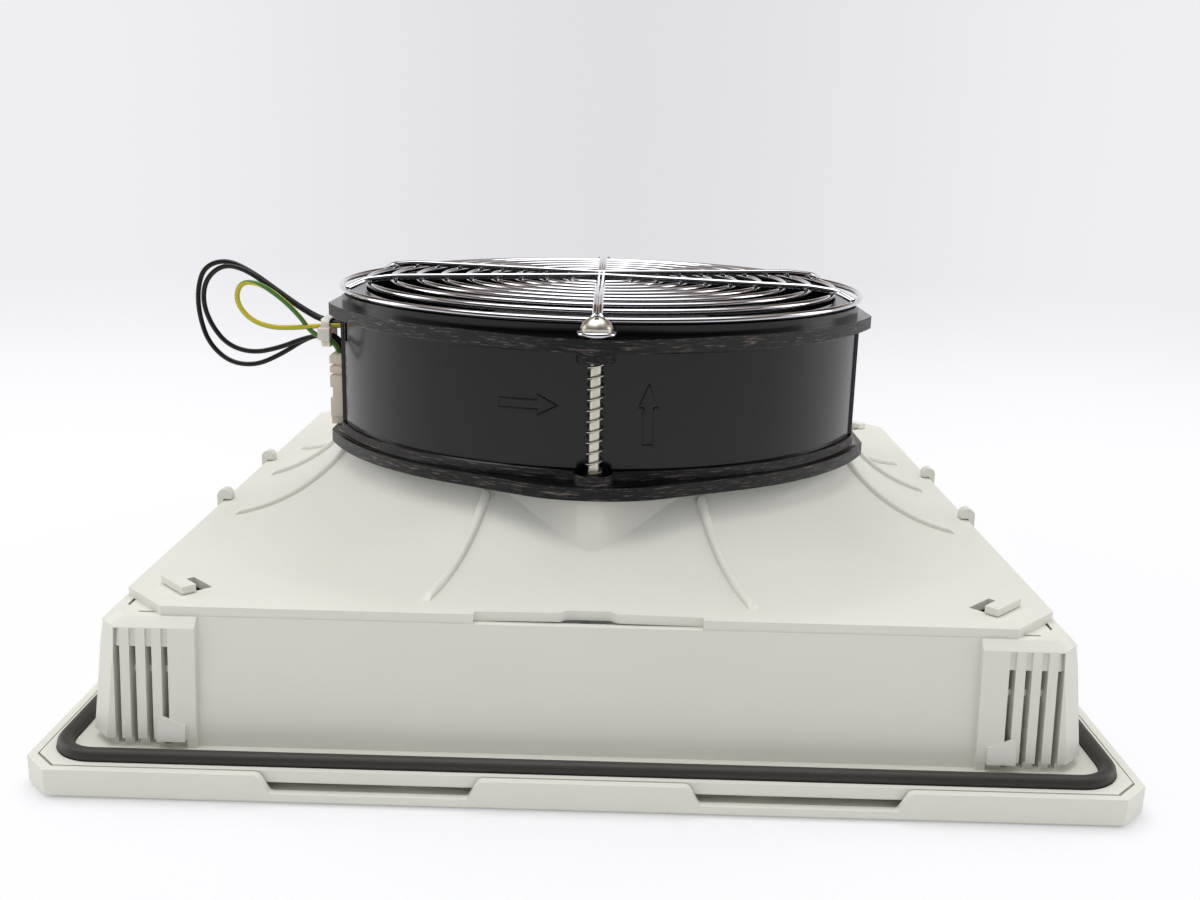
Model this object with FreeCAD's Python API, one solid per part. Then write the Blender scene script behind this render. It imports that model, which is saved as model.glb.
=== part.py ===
import FreeCAD, Part
import math
import os

# Cabinet filter fan, lying on its front cover.
# Millimetres. Z points from the cover into the cabinet, X along the edge with the pry notches,
# and the origin is the centre of the cover's outer face.

V = FreeCAD.Vector
UP = V(0, 0, 1)

# Front cover
cover_side = 325.0
cover_corner = 8.2
cover_height = 8.9
cover_face = 2.5
cover_rim = 2.5
cover_edge = 1.0
collar_gap = 3.4
collar_wall = 1.8
collar_top = 12.4
notch_start = 30.0
notch_end = 93.0
notch_slope = 3.2
notch_round = 2.6
notch_floor_round = 1.5
notch_floor = 3.2
foot_count = 5
foot_length = 9.0
foot_width = 2.0
foot_gap = 0.3
channel_drop = 0.6

# Louvres of the cover
louvre_half = 124.0
louvre_count = 17
louvre_thickness = 1.8
louvre_rise = 7.4
louvre_lean = 6.4
mullion_pitch = 62.0
mullion_width = 2.4

# Hinge between cover and housing flange
hinge_place = 92.0
hinge_gap_width = 18.0
hinge_inset = 2.1
hinge_bar_radius = 1.0
hinge_ear_radius = 1.6
hinge_ear_width = 2.0
hinge_play = 0.1
hinge_clip_wall = 1.0
hinge_clip_width = 9.0

# Housing frame
panel_cutout = 292.0
cutout_play = 0.1
flange_play = 0.5
flange_top = 9.0
flange_thickness = 3.5
wall_top = 48.1
wall_top_half = 141.3
wall_thickness = 2.6
wall_corner = 6.0

# Corner clusters of sprung strips
cluster_start = 115.0
cluster_foot = 11.6
cluster_foot_proud = 2.0
cluster_top_proud = 2.8
cluster_shoulder = 45.5
slot_first = 123.9
slot_pitch = 4.7
slot_count = 4
slot_width = 1.9
slot_open_top = 39.5
slot_recess = 0.9
shoulder_rest = 0.3
spur_start = 118.0
spur_end = 126.4
spur_height = 8.0
spur_low_height = 4.6
spur_proud = 1.5
leg_width = 2.9

# Snap hooks and corner latches that hold the hood
hook_place = 30.0
hook_width = 4.4
hook_reach = 5.3
hook_top = 55.4
latch_place = 123.0
latch_opening_length = 11.8
latch_opening_depth = 8.5
latch_head_length = 14.0
latch_head_depth = 4.4
latch_head_height = 2.6
latch_play = 0.4
latch_stem_depth = 2.4

# Gasket
gasket_radius = 2.4
gasket_line = 155.0
gasket_corner = 12.0
gasket_sink = 1.6
groove_play = 0.2

# Filter mat and the grid behind it
mat_gap = 1.4
mat_play = 0.3
mat_thickness = 14.6
grid_cells = 10
grid_bar = 1.8
grid_rim = 4.0
grid_thickness = 3.0
ledge_reach = 5.0
ledge_thickness = 2.0

# Hood
hood_half = 140.9
hood_corner = 15.1
hood_thickness = 2.9
bell_foot_radius = 146.0
bell_arc = 60.0
hood_top = 77.4
setback_half = 33.8
setback_depth = 2.2
setback_notch_half = 6.5
setback_notch_depth = 1.4
rib_width = 3.0
rib_relief = 1.7
rib_round = 1.1
rib_place = 50.0
rib_reach = 133.0
rib_start = 100.0
gusset_half = 33.0
gusset_foot_half = 7.0
gusset_slope = 0.579
gusset_nose = 109.6
gusset_foot = 113.6
gusset_foot_z = 61.2
gusset_round = 10.0
gusset_back = 86.0
pilot_radius = 1.9
pilot_depth = 17.0

# Fan frame
fan_gap = 0.3
fan_height = 50.7
flange_plate = 4.3
fan_flange_radius = 105.0
fan_flat = 97.0
lug_reach = 111.2
lug_nose_half = 13.0
lug_nose_round = 45.0
lug_tangent_angle = 62.5
barrel_radius = 100.3
barrel_flat = 92.2
bore_radius = 89.6
inlet_radius = 93.4
inlet_depth = 6.0
bead_height = 3.0
bead_proud = 1.8
spigot_height = 2.9
spigot_pocket = 7.0
corner_rib_width = 2.6
corner_rib_proud = 0.9
screw_radius_place = 105.0
screw_hole_radius = 2.9
lug_boss_radius = 6.2
lug_boss_height = 3.4
strut_count = 4
strut_width = 8.0
strut_thickness = 4.0
strut_turn = 45.0
seat_radius = 40.0
seat_thickness = 3.6
lead_slot_width = 3.0
lead_slot_height = 9.0
lead_slot_turn = 206.0

# Motor
tube_outer = 11.0
bearing_radius = 8.5
bearing_width = 6.0
shaft_radius = 3.0
running_play = 0.04
seat_play = 0.02
stator_radius = 33.0
stator_bottom = 92.0
stator_height = 16.0
stator_teeth = 12
winding_radius = 29.0
winding_height = 6.0
air_gap = 0.5
cage_wall = 2.4
cup_wall = 2.4
cup_radius = 42.0
cup_bottom = 86.0
cup_top = 120.0
cup_dome = 2.4
circlip_radius = 5.0
circlip_thickness = 0.8
spring_thickness = 1.0

# Impeller
hub_wall = 2.0
blade_count = 7
blade_tip_gap = 2.0
blade_thickness = 2.2
blade_root_chord = 37.0
blade_tip_chord = 54.0
blade_root_pitch = 44.0
blade_tip_pitch = 27.0
blade_camber = 4.5
blade_sweep = 16.0
blade_middle = 103.5

# Finger guard
guard_ring_radius = 98.5
guard_ring_pitch = 9.28
guard_ring_count = 10
guard_wire = 1.1
wire_sides = 8
guard_rise_second = 5.5
guard_rise_third = 6.3
guard_rise_inner = 6.6
arm_wire = 0.8
rod_wire = 1.1
weld_sink = 0.45
rod_middle = 5.5
rod_knee = 76.0
rod_reach = 86.0
rod_slope = 0.285
rod_foot_angle = 23.5
eye_radius = 5.3
eye_wire = 0.9

# Guard screws
washer_radius = 5.15
washer_thickness = 1.0
screw_head_radius = 5.15
screw_head_height = 3.5
screw_core_radius = 1.75
screw_bite = 16.0
cross_width = 1.2
cross_depth = 1.4

# Terminal block and its screws
block_depth = 6.8
block_low_y = -33.0
block_high_y = -11.0
block_height = 26.0
block_groove = 1.0
block_grooves = (3.6, 7.0)
clamp_screw_radius = 1.3
clamp_pitch = 5.0
clamp_inset = 5.0
clamp_proud = 0.4

# Leads and their tie
lead_radius = 0.9
tie_place = -101.2
tie_width = 3.2
tie_thickness = 0.8
tie_middle_y = -22.5
tie_middle_z = 115.45
tie_half_height = 4.5
tie_half_length = 5.9
tie_head = 4.4
grommet_radius = 3.6
grommet_length = 2.4

# Routes of the leads, from the grommet round the loop to the terminal block
outer_route = (
    (-94.6, -18.5, 118.0), (-102.5, -19.0, 118.4), (-111.5, -20.5, 123.5), (-120.5, -21.5, 130.2),
    (-129.5, -22.0, 136.8), (-138.5, -22.0, 141.0), (-147.0, -22.0, 138.3), (-149.8, -22.5, 130.0),
    (-149.6, -22.8, 120.2), (-146.5, -23.2, 109.8), (-139.0, -23.0, 102.6), (-129.0, -22.5, 101.6),
    (-119.0, -21.5, 106.4), (-110.5, -20.0, 112.0), (-103.5, -18.8, 113.9), (-98.6, -17.8, 112.4),
    (-96.5, -17.0, 108.05),
)
inner_route = (
    (-94.6, -22.0, 118.0), (-102.5, -22.5, 118.4), (-111.5, -25.0, 124.2), (-121.0, -27.0, 131.6),
    (-130.0, -28.0, 138.2), (-138.0, -28.2, 139.8), (-144.6, -28.3, 134.5), (-146.2, -28.5, 126.0),
    (-143.2, -28.5, 117.0), (-137.4, -28.3, 109.8), (-128.5, -27.5, 107.2), (-119.0, -26.0, 109.2),
    (-110.5, -24.0, 112.6), (-103.5, -22.4, 113.9), (-98.6, -22.1, 112.4), (-96.5, -22.0, 108.05),
)
earth_route = (
    (-94.6, -25.5, 118.0), (-102.5, -26.3, 118.0), (-112.0, -30.0, 117.4), (-121.0, -32.0, 117.6),
    (-128.6, -32.5, 120.9), (-132.8, -32.5, 127.6), (-130.6, -32.5, 134.0), (-124.0, -32.3, 133.8),
    (-117.0, -31.5, 129.0), (-110.5, -29.5, 122.0), (-107.0, -27.6, 115.8), (-103.0, -26.3, 113.4),
    (-98.6, -26.5, 112.4), (-96.5, -27.0, 108.05),
)

# Sizes that follow from the ones above
cover_half = cover_side / 2
rim_inner_half = cover_half - cover_rim
flange_half = rim_inner_half - flange_play
flange_bottom = flange_top - flange_thickness
wall_foot_half = panel_cutout / 2 - cutout_play
wall_slope = (wall_foot_half - wall_top_half) / (wall_top - flange_top)
hinge_y = cover_half - hinge_inset
hinge_z = cover_height
ledge_z = collar_top + mat_play + mat_thickness + mat_play + grid_thickness
hood_bottom = wall_top
hood_plate_top = hood_bottom + hood_thickness
bell_centre_z = hood_plate_top + bell_arc
fan_bottom = hood_top + fan_gap
fan_top = fan_bottom + fan_height
lower_flange_top = fan_bottom + flange_plate
upper_flange_bottom = fan_top - flange_plate
impeller_radius = bore_radius - blade_tip_gap
tube_bottom = fan_bottom + seat_thickness
lower_bearing_z = tube_bottom + 4.0
upper_bearing_z = stator_bottom + stator_height - bearing_width
tube_top = upper_bearing_z + bearing_width
cage_inner = stator_radius + air_gap
cup_inner = cage_inner + cage_wall
guard_rise_outer = spigot_height + guard_wire
eye_z = fan_top + eye_wire
washer_z = eye_z + eye_wire
head_z = washer_z + washer_thickness
block_outer = barrel_flat + block_depth
block_top = lower_flange_top + block_height


def box(x0, x1, y0, y1, z0, z1):
    return Part.makeBox(x1 - x0, y1 - y0, z1 - z0, V(x0, y0, z0))


def rod(radius, start, end):
    run = end.sub(start)
    return Part.makeCylinder(radius, run.Length, start, run)


def tube_ring(outer, inner, z0, z1):
    wall = Part.makeCylinder(outer, z1 - z0, V(0, 0, z0))
    return wall.cut(Part.makeCylinder(inner, z1 - z0, V(0, 0, z0)))


def polygon_face(points):
    return Part.Face(Part.makePolygon(list(points) + [points[0]]))


def chamfered_square(half, corner, z):
    side = half - corner
    points = [
        V(-side, -half, z), V(side, -half, z), V(half, -side, z), V(half, side, z),
        V(side, half, z), V(-side, half, z), V(-half, side, z), V(-half, -side, z),
    ]
    return Part.makePolygon(points + [points[0]])


def prism(half, corner, z0, z1):
    return Part.Face(chamfered_square(half, corner, z0)).extrude(V(0, 0, z1 - z0))


def frustum(half0, z0, half1, z1, corner):
    wires = [chamfered_square(half0, corner, z0), chamfered_square(half1, corner, z1)]
    return Part.makeLoft(wires, True, True)


def fuse(shapes):
    return shapes[0].multiFuse(shapes[1:]).removeSplitter()


def turned(shape, degrees):
    copy = shape.copy()
    copy.rotate(V(0, 0, 0), UP, degrees)
    return copy


def mirrored_x(shape):
    return shape.mirror(V(0, 0, 0), V(1, 0, 0))


def mirrored_y(shape):
    return shape.mirror(V(0, 0, 0), V(0, 1, 0))


def save(name, shape):
    shape.exportStep("parts/" + name + ".step")
    print(name, "solids", len(shape.Solids), "valid", shape.isValid(), "volume", round(shape.Volume, 1))


def wall_half(z):
    """Half-size of the drafted outer wall at height z."""
    return wall_foot_half - wall_slope * (z - flange_top)


def make_louvres():
    """Leaning slats along X across the cover's window, and the mullions behind them."""
    pitch = 2 * louvre_half / louvre_count
    slats = []
    for index in range(louvre_count + 1):
        y = -louvre_half + index * pitch
        profile = polygon_face([
            V(-louvre_half - 1, y, 0), V(-louvre_half - 1, y + louvre_thickness, 0),
            V(-louvre_half - 1, y + louvre_thickness + louvre_lean, louvre_rise),
            V(-louvre_half - 1, y + louvre_lean, louvre_rise),
        ])
        slats.append(profile.extrude(V(2 * louvre_half + 2, 0, 0)))
    window = box(-louvre_half - 1, louvre_half + 1, -louvre_half - 1, louvre_half + 1, 0, louvre_rise)
    slats = [slat.common(window) for slat in slats]
    mullions = []
    for index in (-1, 0, 1):
        x = index * mullion_pitch
        low = louvre_rise - cover_face
        mullions.append(box(x - mullion_width / 2, x + mullion_width / 2,
                            -louvre_half - 1, louvre_half + 1, low, louvre_rise))
    return slats + mullions


def make_notch():
    """One pry notch through the rim, its sloped ends rounded at the top and the floor."""
    outer = cover_half + 1
    flare = notch_slope + notch_round
    corners = [(notch_end, cover_height), (notch_end - notch_slope, notch_floor),
               (notch_start + notch_slope, notch_floor), (notch_start, cover_height)]
    profile = [(notch_start - flare, cover_height), (notch_start - flare, cover_height + 1),
               (notch_end + flare, cover_height + 1), (notch_end + flare, cover_height)] + corners
    block = polygon_face([V(x, -outer, z) for x, z in profile]).extrude(V(0, cover_rim + 1.4, 0))
    high = [edge for edge in block.Edges if is_cross_edge(edge, corners[0]) or is_cross_edge(edge, corners[3])]
    block = block.makeFillet(notch_round, high)
    low = [edge for edge in block.Edges if is_cross_edge(edge, corners[1]) or is_cross_edge(edge, corners[2])]
    return block.makeFillet(notch_floor_round, low)


def is_cross_edge(edge, place):
    """Whether an edge runs along Y at an (x, z) place."""
    middle = edge.CenterOfMass
    return abs(middle.x - place[0]) < 0.01 and abs(middle.z - place[1]) < 0.01 and edge.Length > cover_rim


def make_hinge_bar(side):
    """Moulded bar across a gap in the rim, carried by an ear at each end."""
    half = hinge_gap_width / 2
    ear_inner = half - hinge_ear_width
    x = side * hinge_place
    axis = V(0, hinge_y, hinge_z)
    pieces = [rod(hinge_bar_radius, axis + V(x - half, 0, 0), axis + V(x + half, 0, 0))]
    for end in (-1, 1):
        start = axis + V(x + end * ear_inner, 0, 0)
        pieces.append(rod(hinge_ear_radius, start, axis + V(x + end * (half + 1), 0, 0)))
        low = min(x + end * ear_inner, x + end * half)
        pieces.append(box(low, low + hinge_ear_width, hinge_y - hinge_ear_radius + 0.4, cover_half,
                          notch_floor, hinge_z))
    return pieces


def make_front_cover():
    edge = cover_half - cover_edge
    body = fuse([
        frustum(edge, 0, cover_half, cover_edge, cover_corner),
        prism(cover_half, cover_corner, cover_edge, cover_height),
    ])
    body = body.cut(prism(rim_inner_half, cover_corner - cover_rim / 2, cover_face, cover_height + 1))
    body = body.cut(box(-louvre_half, louvre_half, -louvre_half, louvre_half, -1, cover_height))
    collar_half = wall_half(flange_top) - wall_thickness - collar_gap
    collar = prism(collar_half, wall_corner, cover_face, collar_top)
    collar = collar.cut(prism(collar_half - collar_wall, wall_corner, cover_face, collar_top))
    feet = []
    foot_line = (wall_foot_half + flange_half) / 2
    foot_top = flange_bottom - channel_drop - foot_gap
    for index in range(foot_count):
        place = (index - (foot_count - 1) / 2) * 2 * foot_line / (foot_count + 1)
        foot = box(place - foot_length / 2, place + foot_length / 2, foot_line - foot_width / 2,
                   foot_line + foot_width / 2, cover_face, foot_top)
        feet += [turned(foot, quarter * 90) for quarter in range(4)]
    notch = make_notch()
    cuts = [notch, mirrored_x(notch)]
    bars = []
    for side in (-1, 1):
        x = side * hinge_place
        half = hinge_gap_width / 2
        cuts.append(box(x - half, x + half, rim_inner_half - 0.1, cover_half + 1, notch_floor, cover_height + 1))
        bars += make_hinge_bar(side)
    body = body.cut(Part.makeCompound(cuts))
    return fuse([body, collar] + feet + bars + make_louvres())


def make_gasket_path(line, z):
    """Closed wire of four straight runs and four rounded corners."""
    run = line - gasket_corner
    mid = line - gasket_corner * (1 - math.sqrt(0.5))
    edges = []
    for quarter in range(4):
        straight = Part.makeLine(V(-run, -line, z), V(run, -line, z))
        bend = Part.Arc(V(run, -line, z), V(mid, -mid, z), V(line, -run, z)).toShape()
        edges += [turned(straight, quarter * 90), turned(bend, quarter * 90)]
    return Part.Wire(Part.__sortEdges__(edges))


def make_gasket():
    z = flange_top + gasket_radius - gasket_sink
    path = make_gasket_path(gasket_line, z)
    profile = Part.Wire(Part.makeCircle(gasket_radius, V(0, -gasket_line, z), V(1, 0, 0)))
    return path.makePipeShell([profile], True, True)


def make_groove():
    """Channel for the gasket: the space between two rounded squares."""
    half_width = gasket_radius + groove_play
    floor = flange_top - gasket_sink - 0.05
    outer = rounded_prism(gasket_line + half_width, gasket_corner + half_width, floor, flange_top + 1)
    inner = rounded_prism(gasket_line - half_width, gasket_corner - half_width, floor, flange_top + 1)
    return outer.cut(inner)


def rounded_prism(half, radius, z0, z1):
    run = half - radius
    mid = half - radius * (1 - math.sqrt(0.5))
    edges = []
    for quarter in range(4):
        straight = Part.makeLine(V(-run, -half, z0), V(run, -half, z0))
        bend = Part.Arc(V(run, -half, z0), V(mid, -mid, z0), V(half, -run, z0)).toShape()
        edges += [turned(straight, quarter * 90), turned(bend, quarter * 90)]
    return Part.Face(Part.Wire(Part.__sortEdges__(edges))).extrude(V(0, 0, z1 - z0))


def make_cluster_skin():
    """Raised skins round the four corners, drafted like the wall and rounded off at the top."""
    foot = wall_half(cluster_foot) + cluster_foot_proud
    shoulder = wall_half(cluster_shoulder) + cluster_top_proud
    top = wall_top_half + 0.6
    skin = fuse([
        frustum(foot, cluster_foot, shoulder, cluster_shoulder, wall_corner),
        frustum(shoulder, cluster_shoulder, top, wall_top, wall_corner),
    ])
    corners = []
    reach = flange_half
    for sx in (-1, 1):
        for sy in (-1, 1):
            x0, x1 = sorted((sx * cluster_start, sx * reach))
            y0, y1 = sorted((sy * cluster_start, sy * reach))
            corners.append(box(x0, x1, y0, y1, cluster_foot, wall_top))
    return skin, skin.common(Part.makeCompound(corners))


def make_slots(skin):
    """Open slots low down and shallow recesses above them, four to each side of each corner."""
    deep = []
    shallow = []
    foot = wall_half(cluster_foot) + cluster_foot_proud
    for index in range(slot_count):
        x = slot_first + index * slot_pitch
        low = box(x - slot_width / 2, x + slot_width / 2, -foot - 1, -wall_top_half + wall_thickness + 1.5,
                  flange_top + 0.3, slot_open_top)
        high = box(x - slot_width / 2, x + slot_width / 2, -foot - 1, -wall_top_half, slot_open_top,
                   cluster_shoulder - shoulder_rest)
        for quarter in range(4):
            deep += [turned(low, quarter * 90), turned(mirrored_x(low), quarter * 90)]
            shallow += [turned(high, quarter * 90), turned(mirrored_x(high), quarter * 90)]
    core = skin.copy()
    scale = FreeCAD.Matrix()
    ratio = 1 - slot_recess / foot
    scale.scale(ratio, ratio, 1)
    core = core.transformGeometry(scale)
    shallow = Part.makeCompound(shallow).cut(core)
    return Part.makeCompound(deep), shallow


def make_spurs():
    """Ramped facet that spreads the foot of each wide strip, and the leg at the strip's edge."""
    y = wall_half(cluster_foot) + cluster_foot_proud
    profile = polygon_face([
        V(spur_start, -y + 0.6, cluster_foot), V(spur_start, -y - spur_proud, cluster_foot),
        V(spur_start, -y + 0.6, cluster_foot + spur_height),
    ])
    outline = polygon_face([
        V(spur_start, -y - 3, cluster_foot - 1), V(spur_end, -y - 3, cluster_foot - 1),
        V(spur_end, -y - 3, cluster_foot + spur_height), V(spur_start, -y - 3, cluster_foot + spur_low_height),
    ]).extrude(V(0, 6, 0))
    spur = profile.extrude(V(spur_end - spur_start, 0, 0)).common(outline)
    leg = box(cluster_start, cluster_start + leg_width, -y + 0.1, -wall_half(cluster_foot) + 0.5,
              flange_top - 0.2, cluster_foot + 0.2)
    spurs = []
    for piece in (spur, leg):
        for quarter in range(4):
            spurs += [turned(piece, quarter * 90), turned(mirrored_x(piece), quarter * 90)]
    return spurs


def make_hooks():
    """Snap hooks on the two side walls that reach over the hood's edge."""
    outer = hood_half + 0.3 + 2.2
    inner = outer - hook_reach
    round_radius = hook_reach / 2
    hooks = []
    for side in (-1, 1):
        for end in (-1, 1):
            y = end * hook_place
            stem = box(hood_half + 0.3, outer, y - hook_width / 2, y + hook_width / 2,
                       wall_top - 7, hook_top - round_radius)
            head = box(inner, outer, y - hook_width / 2, y + hook_width / 2,
                       hood_plate_top + 0.6, hook_top - round_radius)
            crown = rod(round_radius, V((inner + outer) / 2, y - hook_width / 2, hook_top - round_radius),
                        V((inner + outer) / 2, y + hook_width / 2, hook_top - round_radius))
            crown = crown.common(box(inner, outer, y - hook_width / 2, y + hook_width / 2,
                                     hood_plate_top + 0.6, hook_top))
            hook = fuse([stem, head, crown])
            hooks.append(hook if side > 0 else mirrored_x(hook))
    return hooks


def latch_frame(shape):
    """Four copies of a shape drawn on the X axis, turned to the corners' diagonals."""
    return [turned(shape, 45 + 90 * quarter) for quarter in range(4)]


def make_latches():
    """Corner posts that come up through the hood's openings and lean over their outer edge."""
    centre = latch_place * math.sqrt(2)
    inner = centre - latch_opening_depth / 2
    outer = centre + latch_opening_depth / 2
    stem_outer = outer - latch_play
    stem = box(stem_outer - latch_stem_depth, stem_outer, -latch_opening_length / 2 + 2,
               latch_opening_length / 2 - 2, wall_top - 14, hood_plate_top + latch_head_height)
    head = box(stem_outer - latch_stem_depth, stem_outer - latch_stem_depth + latch_head_depth,
               -latch_head_length / 2, latch_head_length / 2, hood_plate_top + 0.3,
               hood_plate_top + latch_head_height)
    web = box(inner, wall_top_half * math.sqrt(2) - wall_corner, -1.2, 1.2, wall_top - 14, wall_top - 4)
    return latch_frame(fuse([stem, head, web]))


def make_corner_shelves():
    """Triangular shelves that close the housing's corners beside the hood's chamfers."""
    inner = wall_top_half - wall_thickness - 1
    reach = hood_corner + 6
    shelf = polygon_face([
        V(inner, inner, wall_top - 2.4), V(inner - reach, inner, wall_top - 2.4),
        V(inner, inner - reach, wall_top - 2.4),
    ]).extrude(V(0, 0, 2.4))
    diagonal = latch_place * math.sqrt(2)
    depth = latch_opening_depth / 2 + 0.5
    length = latch_opening_length / 2 + 0.5
    window = box(diagonal - depth, diagonal + depth, -length, length, wall_top - 5, wall_top + 1)
    shelf = shelf.cut(turned(window, 45))
    return [turned(shelf, quarter * 90) for quarter in range(4)]


def make_hinge_clip(side):
    """Snap clip on the flange's edge that holds the cover's hinge bar."""
    inner = hinge_bar_radius + hinge_play
    outer = inner + hinge_clip_wall
    x = side * hinge_place
    half = hinge_clip_width / 2
    start = V(x - half, hinge_y, hinge_z)
    end = V(x + half, hinge_y, hinge_z)
    loop = rod(outer, start, end).cut(rod(inner, start, end))
    mouth = box(x - half, x + half, hinge_y - inner * 0.8, hinge_y + outer, hinge_z + inner * 0.7, hinge_z + outer)
    arm_start = gasket_line + gasket_radius + groove_play + 0.2
    arm = box(x - half, x + half, arm_start, hinge_y - inner - 0.2, flange_bottom, flange_top)
    arm = arm.cut(rod(inner, start, end))
    return fuse([loop.cut(mouth), arm])


def make_housing_frame():
    flange = prism(flange_half, cover_corner - cover_rim / 2, flange_bottom, flange_top)
    channel = rounded_prism(gasket_line + gasket_radius + 1.4, gasket_corner + gasket_radius,
                            flange_bottom - channel_drop, flange_bottom)
    wall = frustum(wall_foot_half, flange_top, wall_top_half, wall_top, wall_corner)
    root = prism(wall_foot_half, wall_corner, flange_bottom, flange_top)
    inside = frustum(wall_foot_half - wall_thickness, flange_top, wall_top_half - wall_thickness, wall_top,
                     wall_corner)
    below = prism(wall_foot_half - wall_thickness, wall_corner, flange_bottom - 2, flange_top)
    skin, clusters = make_cluster_skin()
    ledge_half = wall_half(ledge_z)
    ledge = prism(ledge_half - wall_thickness / 2, wall_corner, ledge_z, ledge_z + ledge_thickness)
    shell = fuse([flange, channel, root, wall, clusters])
    shell = shell.cut(inside).cut(below)
    opening = prism(ledge_half - wall_thickness - ledge_reach, wall_corner, ledge_z, ledge_z + ledge_thickness)
    deep, shallow = make_slots(skin)
    hinge_cuts = []
    for side in (-1, 1):
        x = side * hinge_place
        half = hinge_gap_width / 2 + 1.5
        hinge_cuts.append(box(x - half, x + half, hinge_y - hinge_ear_radius - 0.9, flange_half + 1,
                              flange_bottom - 1, flange_top + 1))
    shell = shell.cut(make_groove()).cut(Part.makeCompound(hinge_cuts))
    shell = shell.cut(deep).cut(shallow)
    pieces = [shell, ledge.cut(opening)] + make_spurs() + make_hooks() + make_latches()
    pieces += make_corner_shelves() + [make_hinge_clip(-1), make_hinge_clip(1)]
    return fuse(pieces)


def make_filter_mat():
    low = collar_top + mat_play
    half = wall_half(ledge_z) - wall_thickness - mat_gap
    return rounded_prism(half, wall_corner + 4, low, low + mat_thickness)


def make_support_grid():
    """Square lattice under the housing's ledge."""
    low = ledge_z - grid_thickness
    half = wall_half(ledge_z) - wall_thickness - 0.3
    plate = prism(half, wall_corner, low, ledge_z)
    inner = half - grid_rim
    pitch = 2 * inner / grid_cells
    cells = []
    for row in range(grid_cells):
        for column in range(grid_cells):
            x = -inner + column * pitch
            y = -inner + row * pitch
            cells.append(box(x + grid_bar / 2, x + pitch - grid_bar / 2, y + grid_bar / 2,
                             y + pitch - grid_bar / 2, low - 1, ledge_z + 1))
    return plate.cut(Part.makeCompound(cells))


def bell_z(radius, offset):
    """Height of the bell's outer surface, or of one lying offset above it, at a radius."""
    arc = bell_arc - offset
    run = bell_foot_radius - radius
    return bell_centre_z - math.sqrt(arc * arc - run * run)


def bell_radius_at(z, offset):
    arc = bell_arc - offset
    drop = bell_centre_z - z
    return bell_foot_radius - math.sqrt(arc * arc - drop * drop)


def bell_arc_edge(offset, z0, z1):
    """Arc of the bell's profile in the XZ plane between two heights."""
    middle = (z0 + z1) / 2
    points = [V(bell_radius_at(z, offset), 0, z) for z in (z0, middle, z1)]
    return Part.Arc(*points).toShape()


def make_bell():
    outer = bell_arc_edge(0, hood_plate_top, hood_top)
    inner = bell_arc_edge(-hood_thickness, hood_bottom, hood_top)
    lip = Part.makeLine(outer.lastVertex().Point, inner.lastVertex().Point)
    foot = Part.makeLine(outer.firstVertex().Point, inner.firstVertex().Point)
    wire = Part.Wire(Part.__sortEdges__([outer, lip, inner, foot]))
    return Part.Face(wire).revolve(V(0, 0, 0), UP, 360)


def make_rib(angle, reach):
    """Raised rib that follows the bell's profile along one radius."""
    start = rib_start
    middle = (start + reach) / 2
    top = Part.Arc(*[V(r, 0, bell_z(r, rib_relief)) for r in (start, middle, reach - 4)]).toShape()
    low = Part.Arc(*[V(r, 0, bell_z(r, -1)) for r in (start, middle, reach)]).toShape()
    inner = Part.makeLine(top.firstVertex().Point, low.firstVertex().Point)
    outer = Part.makeLine(top.lastVertex().Point, low.lastVertex().Point)
    face = Part.Face(Part.Wire(Part.__sortEdges__([top, outer, low, inner])))
    rib = face.extrude(V(0, rib_width, 0))
    rib.translate(V(0, -rib_width / 2, 0))
    backs = [edge for edge in rib.Edges if edge.Length > reach / 4 and edge.CenterOfMass.z > low.CenterOfMass.z + 1.5]
    rib = rib.makeFillet(rib_round, backs)
    return turned(rib, angle)


def make_ribs():
    """Three ribs on each side wall's slope and two on the slopes that carry the fan's lugs."""
    places = []
    for x in (-rib_reach, rib_reach):
        places += [(x, -rib_place), (x, 0), (x, rib_place)]
    for y in (-rib_reach, rib_reach):
        places += [(-rib_place, y), (rib_place, y)]
    return [make_rib(math.degrees(math.atan2(y, x)), math.hypot(x, y)) for x, y in places]


def rounded_vee(half, nose, z):
    """Closed wire of a vee whose point, rounded by an arc, looks along -Y."""
    lean = math.atan(gusset_slope)
    centre = nose - gusset_round / math.cos(lean)
    touch_x = gusset_round * math.sin(lean)
    touch_y = centre + gusset_round * math.cos(lean)
    side_y = nose - gusset_slope * half
    left = [V(-half, -gusset_back, z), V(-half, -side_y, z), V(-touch_x, -touch_y, z)]
    right = [V(-point.x, point.y, z) for point in reversed(left)]
    nose_arc = Part.Arc(left[-1], V(0, -centre - gusset_round, z), right[0]).toShape()
    edges = [Part.makeLine(left[0], left[1]), Part.makeLine(left[1], left[2]), nose_arc,
             Part.makeLine(right[0], right[1]), Part.makeLine(right[1], right[2]),
             Part.makeLine(right[2], left[0])]
    return Part.Wire(edges)


def make_gusset():
    """Gusset that carries a fan lug: two flat sides that meet in a rounded nose and run out on the bell."""
    top = rounded_vee(gusset_half, gusset_nose, hood_top)
    foot = rounded_vee(gusset_foot_half, gusset_foot, gusset_foot_z)
    return Part.makeLoft([top, foot], True, True)


def make_bell_core():
    """Everything inside the bell's inner surface, for trimming what must not stand through it."""
    inner = bell_arc_edge(-hood_thickness, hood_bottom, hood_top)
    high = inner.lastVertex().Point
    low = inner.firstVertex().Point
    edges = [inner, Part.makeLine(high, V(0, 0, high.z)), Part.makeLine(V(0, 0, high.z), V(0, 0, low.z)),
             Part.makeLine(V(0, 0, low.z), low)]
    return Part.Face(Part.Wire(Part.__sortEdges__(edges))).revolve(V(0, 0, 0), UP, 360)


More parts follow.
